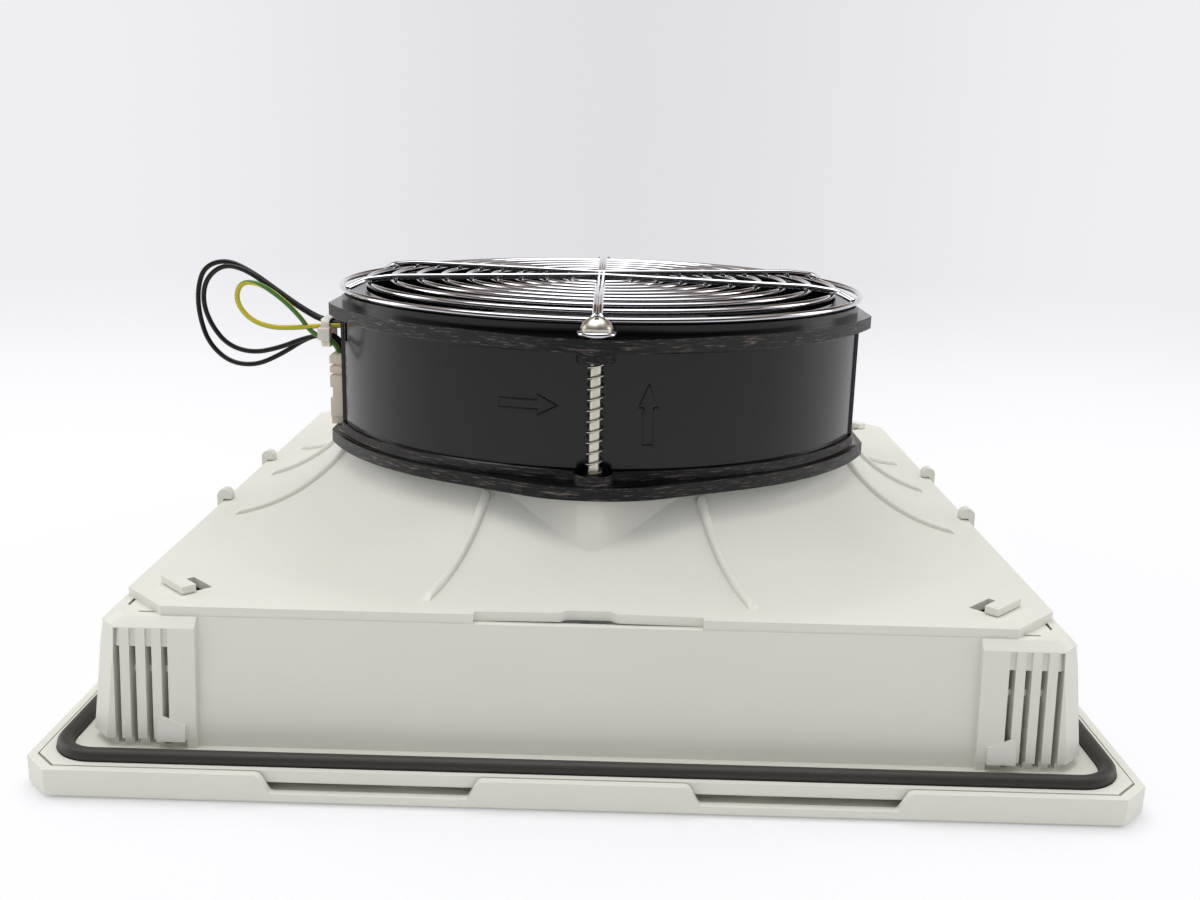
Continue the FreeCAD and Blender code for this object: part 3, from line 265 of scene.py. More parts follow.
def make_object(name: str, surface: Surface, material: Material, smooth_below: float = 40.0) -> Piece:
    """Puts a surface into the scene with one material, its doubles merged and its normals outward.

    Args:
        name: the piece's name.
        surface: points in millimetres and quads.
        material: the finish.
        smooth_below: edges that turn less than this many degrees are shaded smooth.

    Returns:
        The new object, at the origin.
    """
    mesh = bpy.data.meshes.new(name)
    mesh.from_pydata((surface.points * MM).tolist(), [], surface.faces.tolist())
    if surface.places is not None:
        # a quad that closes the ring ends at one and not at zero
        place = surface.places[read_all(mesh.loops, "vertex_index", kind=np.int32)].reshape(-1, 4, 2)
        around = place[..., 1]
        around += around.max(axis=1, keepdims=True) - around > 0.5
        layer = mesh.uv_layers.new(name="along_and_round")
        layer.data.foreach_set("uv", place.reshape(-1).astype(np.float32))
    tidy_mesh(mesh, smooth_below)
    mesh.materials.append(material)
    piece = bpy.data.objects.new(name, mesh)
    bpy.context.scene.collection.objects.link(piece)
    return piece


def tidy_mesh(mesh: bpy.types.Mesh, smooth_below: float, join_flat: bool = False) -> None:
    """Merges doubles, turns faces outward and shades smooth below an angle.

    Args:
        mesh: the mesh to change.
        smooth_below: degrees.
        join_flat: whether the triangles of each flat face are joined.
    """
    work = bmesh.new()
    work.from_mesh(mesh)
    bmesh.ops.remove_doubles(work, verts=work.verts, dist=MERGE)
    if join_flat:
        limit = math.radians(FLAT)
        bmesh.ops.dissolve_limit(work, angle_limit=limit, verts=work.verts, edges=work.edges)
    bmesh.ops.recalc_face_normals(work, faces=work.faces)
    work.to_mesh(mesh)
    work.free()
    mesh.shade_smooth()
    mesh.set_sharp_from_angle(angle=math.radians(smooth_below))


@dataclass(frozen=True)
class TurnedFace:
    """A face turned about Z: a cylinder, or a bell whose profile is an arc round a ring."""

    radius: float
    arc: float = 0.0
    ring_z: float = 0.0

    def outward(self, points: Array) -> tuple[Array, Array]:
        """Which points lie on the face, and its normal there.

        On a cylinder the normal is (x, y) / r. On a bell it points from the surface to the centre line of
        its ring.

        Args:
            points: places in millimetres.

        Returns:
            A mask and the normals, without their sign.
        """
        reach = np.maximum(np.linalg.norm(points[:, :2], axis=1), 1e-6)
        radial = np.concatenate([points[:, :2] / reach[:, None], np.zeros((len(points), 1))], axis=1)
        if self.arc == 0.0:
            return np.abs(reach - self.radius) < ON_FACE, radial
        to_ring = radial * self.radius - points
        to_ring[:, 2] = self.ring_z - points[:, 2]
        distance = np.linalg.norm(to_ring, axis=1)
        return np.abs(distance - self.arc) < ON_FACE, to_ring / distance[:, None]


def true_normals(mesh: bpy.types.Mesh, turned: Sequence[TurnedFace]) -> None:
    """Gives the facets of turned faces the normals of the true surface.

    Args:
        mesh: the mesh to change.
        turned: the faces' true forms.
    """
    corner = read_all(mesh.corner_normals, "vector", 3)
    points = read_all(mesh.vertices, "co", 3)[read_all(mesh.loops, "vertex_index", kind=np.int32)] / MM
    start = read_all(mesh.polygons, "loop_start", kind=np.int32)
    count = read_all(mesh.polygons, "loop_total", kind=np.int32)
    facing = np.repeat(read_all(mesh.polygons, "normal", 3), count, axis=0)
    for face in turned:
        on_face, normal = face.outward(points)
        along = np.sum(normal * facing, axis=1)
        good = on_face & (np.abs(along) > ALIGNED)
        whole = np.repeat(np.logical_and.reduceat(good, start), count)
        corner[whole] = (normal * np.sign(along)[:, None])[whole]
    mesh.normals_split_custom_set(corner.tolist())


def dress_copy(
    node: str,
    material: Material,
    edge: float = 0.0,
    smooth_below: float = 35.0,
    body: str = "housing",
    turned: Sequence[TurnedFace] = (),
    join_flat: bool = True,
) -> Piece:
    """Shows a merged copy of a CAD node with softened edges in its place.

    Args:
        node: the CAD node.
        material: its finish.
        edge: bevel width in millimetres, or 0 for none.
        smooth_below: edges that turn less than this many degrees are shaded smooth.
        body: the body that it moves with.
        turned: faces that are shaded as the true turned surface, which leaves the edges sharp.
        join_flat: whether the triangles of each flat face are joined.

    Returns:
        The copy.
    """
    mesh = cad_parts[node].data.copy()
    mesh.name = node + "_dressed"
    mesh.materials.clear()
    mesh.materials.append(material)
    tidy_mesh(mesh, smooth_below, join_flat)
    piece = bpy.data.objects.new(node + "_dressed", mesh)
    bpy.context.scene.collection.objects.link(piece)
    if turned:
        true_normals(mesh, turned)
    else:
        if edge > 0:
            bevel = piece.modifiers.new("edge", "BEVEL")
            bevel.width = edge * MM
            bevel.segments = 2
            bevel.limit_method = "ANGLE"
            bevel.angle_limit = math.radians(smooth_below)
            bevel.use_clamp_overlap = True
        piece.modifiers.new("flat_faces", "WEIGHTED_NORMAL").keep_sharp = True
    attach(piece, body)
    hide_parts(node)
    return piece


def paint_node(node: str, material: Material) -> Piece:
    """Gives a CAD node its finish and leaves its mesh alone.

    Args:
        node: the CAD node.
        material: its finish.

    Returns:
        The node's own object.
    """
    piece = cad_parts[node]
    piece.data.materials.clear()
    piece.data.materials.append(material)
    return piece


# Finishes


def linear(colour: str) -> tuple[float, float, float, float]:
    """Turns an sRGB hex colour to linear red, green, blue and alpha.

    Args:
        colour: six hex digits after a #.

    Returns:
        Four numbers for a colour socket.
    """
    parts = [int(colour[i : i + 2], 16) / 255 for i in (1, 3, 5)]
    red, green, blue = [p / 12.92 if p <= 0.04045 else ((p + 0.055) / 1.055) ** 2.4 for p in parts]
    return red, green, blue, 1.0


def add_node(tree: Tree, kind: str, inputs: Optional[dict[Any, Any]] = None, **settings: Any) -> Node:
    """Adds one node with its settings and links.

    Args:
        tree: the node tree.
        kind: the node's type name.
        inputs: by socket name or number, a value, an output to link, or a node whose first output is taken.
        settings: attributes of the node.

    Returns:
        The node.
    """
    node = tree.nodes.new(kind)
    for name, value in settings.items():
        setattr(node, name, value)
    for key, value in (inputs or {}).items():
        if isinstance(value, Node):
            value = value.outputs[0]
        if isinstance(value, Socket):
            tree.links.new(value, node.inputs[key])
        else:
            node.inputs[key].default_value = value
    return node


@dataclass(frozen=True)
class Finish:
    """A plain finish: one colour and gloss, and an optional fine bump from noise of a real grain size."""

    name: str
    colour: str
    roughness: float
    metallic: float = 0.0
    ior: float = 1.5
    grain_mm: float = 0.0
    grain_depth_mm: float = 0.0
    sheen: float = 0.0
    subsurface: float = 0.0
    light_reach_mm: float = 1.5

    def build(self) -> Material:
        """Makes the material: the plain values on the shader's own sockets, and then the patterns.

        Returns:
            The material, ready for a mesh.
        """
        material = bpy.data.materials.new(self.name)
        material.use_nodes = True
        tree = material.node_tree
        sockets = tree.nodes["Principled BSDF"].inputs
        plain = {
            "Base Color": linear(self.colour),
            "Roughness": self.roughness,
            "Metallic": self.metallic,
            "Sheen Weight": self.sheen,
            "Subsurface Weight": self.subsurface,
            "Subsurface Scale": self.light_reach_mm * MM,
        }
        if self.metallic == 0:
            plain["IOR"] = self.ior
        for name, value in plain.items():
            sockets[name].default_value = value
        for name, output in self.patterns(tree).items():
            tree.links.new(output, sockets[name])
        return material

    def patterns(self, tree: Tree) -> dict[str, Socket]:
        """What changes over the surface: here the bump of its own grain, if it has one.

        Args:
            tree: the material's nodes.

        Returns:
            Outputs by the name of the shader's socket that they go to.
        """
        if self.grain_mm <= 0:
            return {}
        place = add_node(tree, "ShaderNodeTexCoord").outputs["Object"]
        grain = {"Vector": place, "Scale": 1 / (self.grain_mm * MM), "Detail": 3.0}
        noise = add_node(tree, "ShaderNodeTexNoise", grain)
        rough = {"Strength": 1.0, "Distance": self.grain_depth_mm * MM, "Height": noise}
        return {"Normal": add_node(tree, "ShaderNodeBump", rough).outputs["Normal"]}


@dataclass(frozen=True)
class MouldedPlastic(Finish):
    """Injection-moulded ABS: faint flow clouds in the colour and the fine grain of an eroded mould."""

    cloud_mm: float = 55.0
    cloud_colour: str = "#DCDCD1"

    def patterns(self, tree: Tree) -> dict[str, Socket]:
        """The grain, and the colour mixed with a slightly darker one in wide soft clouds.

        Args:
            tree: the material's nodes.

        Returns:
            Outputs by the name of the shader's socket that they go to.
        """
        place = add_node(tree, "ShaderNodeTexCoord").outputs["Object"]
        cloud = {"Vector": place, "Scale": 1 / (self.cloud_mm * MM), "Detail": 2.0}
        noise = add_node(tree, "ShaderNodeTexNoise", cloud)
        both = {0: noise, 6: linear(self.colour), 7: linear(self.cloud_colour)}
        mix = add_node(tree, "ShaderNodeMix", both, data_type="RGBA")
        return super().patterns(tree) | {"Base Color": mix.outputs[2]}


@dataclass(frozen=True)
class CastEnamel(Finish):
    """Gloss enamel on a die casting: smooth walls, and streaks along the trimmed edges of the flanges."""

    streak_height_mm: float = 0.34
    streak_length_mm: float = 6.0
    streak_depth_mm: float = 0.45
    streak_colour: str = "#8C8178"
    streak_roughness: float = 0.42
    streak_from: float = 0.56
    streak_to: float = 0.74
    edge_radius_mm: float = 101.5
    edge_blend_mm: float = 0.8
    top_normal: float = 0.7
    side_normal: float = 0.3

    def streaks(self, tree: Tree, place: Socket) -> Node:
        """Noise drawn out round the fan.

        Args:
            tree: the nodes to add to.
            place: the place on the object.

        Returns:
            The noise.
        """
        long = 1 / (self.streak_length_mm * MM)
        high = 1 / (self.streak_height_mm * MM)
        drawn = add_node(tree, "ShaderNodeMapping", {"Vector": place, "Scale": (long, long, high)})
        streak = {"Vector": drawn, "Scale": 1.0, "Detail": 4.0, "Roughness": 0.65}
        return add_node(tree, "ShaderNodeTexNoise", streak)

    def trimmed_edge(self, tree: Tree, place: Socket) -> Node:
        """Mask that is one on upright faces beyond the barrel, which are the flanges' trimmed edges.

        Args:
            tree: the nodes to add to.
            place: the place on the object.

        Returns:
            The mask.
        """
        flat = add_node(tree, "ShaderNodeVectorMath", {0: place, 1: (1, 1, 0)}, operation="MULTIPLY")
        reach = add_node(tree, "ShaderNodeVectorMath", {0: flat}, operation="LENGTH").outputs["Value"]
        edge_to = (self.edge_radius_mm + self.edge_blend_mm) * MM
        edge = {"Value": reach, "From Min": self.edge_radius_mm * MM, "From Max": edge_to}
        outside = add_node(tree, "ShaderNodeMapRange", edge)
        normal = add_node(tree, "ShaderNodeNewGeometry").outputs["True Normal"]
        facing = add_node(tree, "ShaderNodeSeparateXYZ", {0: normal})
        upward = add_node(tree, "ShaderNodeMath", {0: facing.outputs["Z"]}, operation="ABSOLUTE")
        wall = {"Value": upward, "From Min": self.top_normal, "From Max": self.side_normal}
        upright = add_node(tree, "ShaderNodeMapRange", wall)
        return add_node(tree, "ShaderNodeMath", {0: outside, 1: upright}, operation="MULTIPLY")

    def patterns(self, tree: Tree) -> dict[str, Socket]:
        """A faint orange peel all over, and streaks that stand proud, browner and duller on the edges.

        Args:
            tree: the material's nodes.

        Returns:
            Outputs by the name of the shader's socket that they go to.
        """
        place = add_node(tree, "ShaderNodeTexCoord").outputs["Object"]
        noise, mask = self.streaks(tree, place), self.trimmed_edge(tree, place)
        height = add_node(tree, "ShaderNodeMath", {0: noise, 1: mask}, operation="MULTIPLY")
        rough = {"Strength": 1.0, "Distance": self.streak_depth_mm * MM, "Height": height}
        streaked = add_node(tree, "ShaderNodeBump", rough)
        grain = {"Vector": place, "Scale": 1 / (self.grain_mm * MM), "Detail": 2.0}
        peel = add_node(tree, "ShaderNodeTexNoise", grain)
        waves = {"Strength": 1.0, "Distance": self.grain_depth_mm * MM, "Height": peel, "Normal": streaked}
        bump = add_node(tree, "ShaderNodeBump", waves)
        peaks = {"Value": noise, "From Min": self.streak_from, "From Max": self.streak_to}
        worn = add_node(tree, "ShaderNodeMapRange", peaks)
        share = add_node(tree, "ShaderNodeMath", {0: worn, 1: mask}, operation="MULTIPLY")
        both = {0: share, 6: linear(self.colour), 7: linear(self.streak_colour)}
        mix = add_node(tree, "ShaderNodeMix", both, data_type="RGBA")
        dull = {"Value": mask, "To Min": self.roughness, "To Max": self.streak_roughness}
        gloss = add_node(tree, "ShaderNodeMapRange", dull)
        return {"Normal": bump.outputs[0], "Base Color": mix.outputs[2], "Roughness": gloss.outputs[0]}


@dataclass(frozen=True)
class StripedSleeve(Finish):
    """Extruded PVC sleeve in two colours: a stripe whose place round the wire turns once on its way."""

    second_colour: str = "#3E7A2C"
    share: float = 0.38
    blend: float = 0.02
    first_place: float = -0.04
    last_place: float = 0.24
    turn_start_mm: float = 50.0
    turn_end_mm: float = 64.0

    def patterns(self, tree: Tree) -> dict[str, Socket]:
        """Picks the colour from the distance round the wire to the stripe's middle.

        Args:
            tree: the material's nodes.

        Returns:
            Outputs by the name of the shader's socket that they go to.
        """
        place = add_node(tree, "ShaderNodeUVMap", uv_map="along_and_round")
        parts = add_node(tree, "ShaderNodeSeparateXYZ", {0: place}).outputs
        turn = {
            "Value": parts["X"],
            "From Min": self.turn_start_mm,
            "From Max": self.turn_end_mm,
            "To Min": 0.5 - self.first_place,
            "To Max": 0.5 - self.last_place,
        }
        middle = add_node(tree, "ShaderNodeMapRange", turn, interpolation_type="SMOOTHSTEP")
        shifted = add_node(tree, "ShaderNodeMath", {0: parts["Y"], 1: middle}, operation="ADD")
        around = add_node(tree, "ShaderNodeMath", {0: shifted}, operation="FRACT")
        away = add_node(tree, "ShaderNodeMath", {0: around, 1: 0.5}, operation="SUBTRACT")
        near = add_node(tree, "ShaderNodeMath", {0: away}, operation="ABSOLUTE")
        half = self.share / 2
        border = {"Value": near, "From Min": half - self.blend, "From Max": half + self.blend}
        pick = add_node(tree, "ShaderNodeMapRange", border)
        both = {0: pick, 6: linear(self.second_colour), 7: linear(self.colour)}
        mix = add_node(tree, "ShaderNodeMix", both, data_type="RGBA")
        return {"Base Color": mix.outputs[2]}


@dataclass(frozen=True)
class FibreFleece(Finish):
    """Nonwoven polyester mat: crossed fibres as stretched noise in two directions."""

    fibre_mm: float = 0.7
    fibre_length_mm: float = 9.0
    lays: tuple[float, float] = (0.5, -0.7)

    def patterns(self, tree: Tree) -> dict[str, Socket]:
        """Adds two bumps of fibres that lie across each other.

        Args:
            tree: the material's nodes.

        Returns:
            Outputs by the name of the shader's socket that they go to.
        """
        place = add_node(tree, "ShaderNodeTexCoord").outputs["Object"]
        thin = 1 / (self.fibre_mm * MM)
        size = (thin, 1 / (self.fibre_length_mm * MM), thin)
        normal = {}
        for angle in self.lays:
            turned = {"Vector": place, "Rotation": (0, 0, angle), "Scale": size}
            lay = add_node(tree, "ShaderNodeMapping", turned)
            noise = add_node(tree, "ShaderNodeTexNoise", {"Vector": lay, "Scale": 1.0, "Detail": 3.0})
            rough = {"Strength": 1.0, "Distance": self.grain_depth_mm * MM, "Height": noise}
            normal = {"Normal": add_node(tree, "ShaderNodeBump", rough | normal).outputs["Normal"]}
        return normal


class Finishes(Enum):
    """Every finish of the unit, under the maker's plain name for it."""

    # ABS, injection moulded in an eroded tool: satin, with a grain too fine to show, drawn at 0.5 mm
    HOUSING = MouldedPlastic(
        "abs_moulded_light_grey", "#E3E3D9", 0.40, ior=1.53, grain_mm=0.5, grain_depth_mm=0.006
    )
    # polyurethane, foamed in the groove: dull and dimpled, its pores drawn at 1.6 mm so that they show
    SEAL = Finish(
        "polyurethane_foamed_seal", "#37322F", 0.5, ior=1.45, grain_mm=1.6, grain_depth_mm=0.06
    )
    # polyester, needle-punched: dull, with crossed fibres drawn coarse enough to show
    FLEECE = FibreFleece("polyester_fleece", "#E4E4DE", 0.9, ior=1.45, grain_depth_mm=0.35, sheen=0.25)
    # gloss enamel on an aluminium die casting: deep black, with a long soft wave
    ENAMEL = CastEnamel(
        "enamel_on_die_cast_aluminium", "#060607", 0.18, ior=1.42, grain_mm=2.2, grain_depth_mm=0.004
    )
    # stove paint on steel sheet: satin black, its fine grain drawn at 1.2 mm
    STOVE_BLACK = Finish("stove_paint_on_steel", "#111112", 0.38, grain_mm=1.2, grain_depth_mm=0.01)
    # steel wire, drawn and bright chrome plated: a mirror
    CHROME = Finish("chrome_plated_wire", "#CFD0D4", 0.06, metallic=1.0)
    # steel, zinc plated and passivated: a soft, slightly yellow metal
    ZINC = Finish("zinc_plated_steel", "#CFCBBD", 0.3, metallic=1.0, grain_mm=0.5, grain_depth_mm=0.005)
    # steel, ground: bright, but softer than chrome
    GROUND_STEEL = Finish("ground_bearing_steel", "#C4C5C8", 0.2, metallic=1.0)
    # silicon steel sheet, stamped and stacked: grey and dull
    SHEET_STEEL = Finish("laminated_motor_steel", "#6F7073", 0.45, metallic=1.0)
    # copper wire under clear enamel: warm and half bright
    COPPER = Finish("enamelled_copper_wire", "#9A5A35", 0.35, metallic=1.0)
    # aluminium, cast and turned: pale and half bright
    ALUMINIUM = Finish("cast_rotor_aluminium", "#B7B9BC", 0.4, metallic=1.0)
    # polyamide, moulded and unpainted: satin, its grain drawn at 0.4 mm
    TERMINAL = Finish(
        "polyamide_moulded_beige", "#E2D7C3", 0.45, ior=1.53, grain_mm=0.4, grain_depth_mm=0.006
    )
    # rubber, moulded: dull black
    RUBBER = Finish("rubber_moulded_black", "#141414", 0.6)
    # PVC, extruded: smooth and satin, in one colour or two
    SLEEVE = Finish("pvc_sleeve_black", "#060706", 0.42, grain_mm=1.0, grain_depth_mm=0.01)
    EARTH = StripedSleeve("pvc_sleeve_green_yellow", "#C9BC1E", 0.34)
    # polyamide strip, natural and moulded thin, so that light passes into it
    TIE = Finish("polyamide_natural_tie", "#E4E2DA", 0.4, subsurface=0.5)

    def material(self) -> Material:
        """The finish's material, made on first use."""
        return bpy.data.materials.get(self.value.name) or self.value.build()


# Sub-assemblies


@dataclass
class Mouldings:
    """The light grey mouldings: cover, housing frame, grid and hood."""

    edge: float = 0.35
    bell: TurnedFace = TurnedFace(radius=146.0, arc=60.0, ring_z=111.0)
    bell_wall: float = 2.9

    def build(self) -> list[Piece]:
        """Dresses the four mouldings.

        Returns:
            The pieces.
        """
        grey = Finishes.HOUSING.material()
        bell = (self.bell, replace(self.bell, arc=self.bell.arc + self.bell_wall))
        return [
            dress_copy("front_cover", grey, self.edge, body="cover"),
            dress_copy("housing_frame", grey, self.edge, join_flat=False),
            dress_copy("fan_hood", grey, turned=bell),
            paint_node("support_grid", grey),
        ]


@dataclass
class SealAndMat:
    """The foamed gasket in the flange's groove and the fleece mat behind the louvres."""

    line_half: float = 155.0
    corner: float = 12.0
    corner_points: int = 14
    radius: float = 2.4
    flatness: float = 0.98
    sides: int = 16
    centre_z: float = 9.8
    mat_half: float = 139.3
    mat_corner: float = 10.0
    mat_corner_points: int = 8
    mat_low: float = 12.7
    mat_high: float = 27.3
    mat_edge: float = 2.2
    mat_edge_points: int = 5
    mat_smooth: float = 60.0
    mat_fill: float = 0.9

    def gasket(self) -> Surface:
        """Cord along the square: p + r cos v n, z + f r sin v, with f for its flatness.

        Returns:
            The cord.
        """
        points, normal = square_path(self.line_half, self.corner, self.corner_points)
        v = np.arange(self.sides) * 2 * math.pi / self.sides
        flat = points[:, None] + self.radius * np.cos(v)[None, :, None] * normal[:, None]
        z = np.broadcast_to(self.centre_z + self.radius * np.sin(v)[None] * self.flatness, flat.shape[:2])
        whole = np.concatenate([flat, z[..., None]], axis=-1)
        return Surface(whole.reshape(-1, 3), grid_faces(len(points), self.sides, True, True))

    def mat(self) -> Surface:
        """Slab with rolled edges: rings of the square drawn in by d and raised to z along a profile.

        The profile runs from just short of the middle out to the rim and back. At the rim,
        d = e (1 - cos a) and z is e (1 - sin a) from the faces, for an edge e.

        Returns:
            The slab.
        """
        bend = np.linspace(0.0, math.pi / 2, self.mat_edge_points)
        inset_up = self.mat_edge * (1 - np.cos(bend))
        rise_up = self.mat_edge * (1 - np.sin(bend))
        middle = np.array([self.mat_half * 0.5, self.mat_half - 0.01])
        inset = np.concatenate([middle[::-1], inset_up[::-1], inset_up, middle])
        low, high = self.mat_low, self.mat_high
        z = np.concatenate([[low] * 2, low + rise_up[::-1], high - rise_up, [high] * 2])
        points, _ = square_path(self.mat_half, self.mat_corner, self.mat_corner_points)
        share = (self.mat_half - inset) / self.mat_half
        flat = points[None] * share[:, None, None]
        height = np.broadcast_to(z[:, None, None], flat.shape[:2] + (1,))
        whole = np.concatenate([flat, height], axis=-1)
        return Surface(whole.reshape(-1, 3), grid_faces(len(z), len(points), False, True))

    def build(self) -> list[Piece]:
        """Makes both soft pieces.

        Returns:
            The pieces.
        """
        gasket = make_object("gasket_cord", self.gasket(), Finishes.SEAL.material())
        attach(gasket, "housing")
        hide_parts("sealing_gasket")
        mat = make_object("filter_fleece", self.mat(), Finishes.FLEECE.material(), self.mat_smooth)
        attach(mat, "housing")
        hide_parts("filter_mat")
        return [gasket, mat]


class ArrowKind(Enum):
    """What an arrow on the barrel points along."""

    TURN = "turn"
    FLOW = "flow"


@dataclass(frozen=True)
class CastArrow:
    """Outline of an arrow proud of the barrel: its tail, its lengths and its half widths."""

    kind: ArrowKind
    tail: tuple[float, float]
    length: float
    head_length: float
    shaft_half: float
    head_half: float

    def outline(self) -> Array:
        """Corners of the arrow in (distance round the barrel, height), closed.

        Returns:
            Eight points, of which the last is the first again.
        """
        neck = self.length - self.head_length
        u = np.array([0, neck, neck, self.length, neck, neck, 0, 0], float)
        shaft, head = self.shaft_half, self.head_half
        v = np.array([shaft, shaft, head, 0, -head, -shaft, -shaft, shaft], float)
        if self.kind is ArrowKind.TURN:
            return np.stack([self.tail[0] + u, self.tail[1] + v], axis=1)
        return np.stack([self.tail[0] + v, self.tail[1] + u], axis=1)


@dataclass
class AxialFan:
    """The die-cast fan frame, its motor and the rotor with its blades."""

    casting_radii: tuple[float, ...] = (105.0, 100.3, 89.6)
    barrel_radius: float = 100.3
    bead_radius: float = 0.32
    bead_sides: int = 8
    bead_sunk: float = 0.04
    run_points: int = 12
    bead_smooth: float = 60.0
    impeller_smooth: float = 40.0
    cup_edge: float = 0.4
    cup_smooth: float = 30.0
    arrows: tuple[CastArrow, ...] = (
        CastArrow(ArrowKind.TURN, (-31.5, 105.3), 19.5, 6.5, 1.5, 3.4),
        CastArrow(ArrowKind.FLOW, (17.0, 93.2), 19.5, 7.5, 1.7, 3.3),
    )

    def arrow(self, arrow: CastArrow) -> Surface:
        """Bead along an arrow's outline, wrapped on the barrel from its front: angle = distance / radius.

        Args:
            arrow: which one.

        Returns:
            The bead.
        """
        corners = arrow.outline()
        share = np.linspace(0.0, 1.0, self.run_points, endpoint=False)[None, :, None]
        run = corners[:-1, None] + (corners[1:] - corners[:-1])[:, None] * share
        flat = np.concatenate([run.reshape(-1, 2), corners[:1]])
        angle = flat[:, 0] / self.barrel_radius
        reach = self.barrel_radius - self.bead_sunk
        path = np.stack([reach * np.sin(angle), -reach * np.cos(angle), flat[:, 1]], axis=1)
        return swept_tube(path, self.bead_radius, self.bead_sides, (0, 1, 0))

    def build(self) -> list[Piece]:
        """Dresses the casting, the motor's inner parts and the rotor.

        Returns:
            The pieces.
        """
        round_faces = [TurnedFace(radius) for radius in self.casting_radii]
        enamel, black = Finishes.ENAMEL.material(), Finishes.STOVE_BLACK.material()
        pieces = [
            dress_copy("fan_frame", enamel, turned=round_faces),
            dress_copy("impeller", black, smooth_below=self.impeller_smooth, body="impeller"),
            dress_copy("rotor_cup", black, self.cup_edge, self.cup_smooth, "impeller"),
        ]
        plain = {
            "stator_core": Finishes.SHEET_STEEL,
            "motor_windings": Finishes.COPPER,
            "lower_bearing": Finishes.GROUND_STEEL,
            "upper_bearing": Finishes.GROUND_STEEL,
            "preload_spring": Finishes.GROUND_STEEL,
            "motor_shaft": Finishes.GROUND_STEEL,
            "shaft_circlip": Finishes.GROUND_STEEL,
            "rotor_cage": Finishes.ALUMINIUM,
            "lead_grommet": Finishes.RUBBER,
        }
        pieces += [paint_node(node, finish.material()) for node, finish in plain.items()]
        beads = join_all([self.arrow(arrow) for arrow in self.arrows])
        arrows = make_object("barrel_arrows", beads, enamel, self.bead_smooth)
        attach(arrows, "housing")
        return pieces + [arrows]


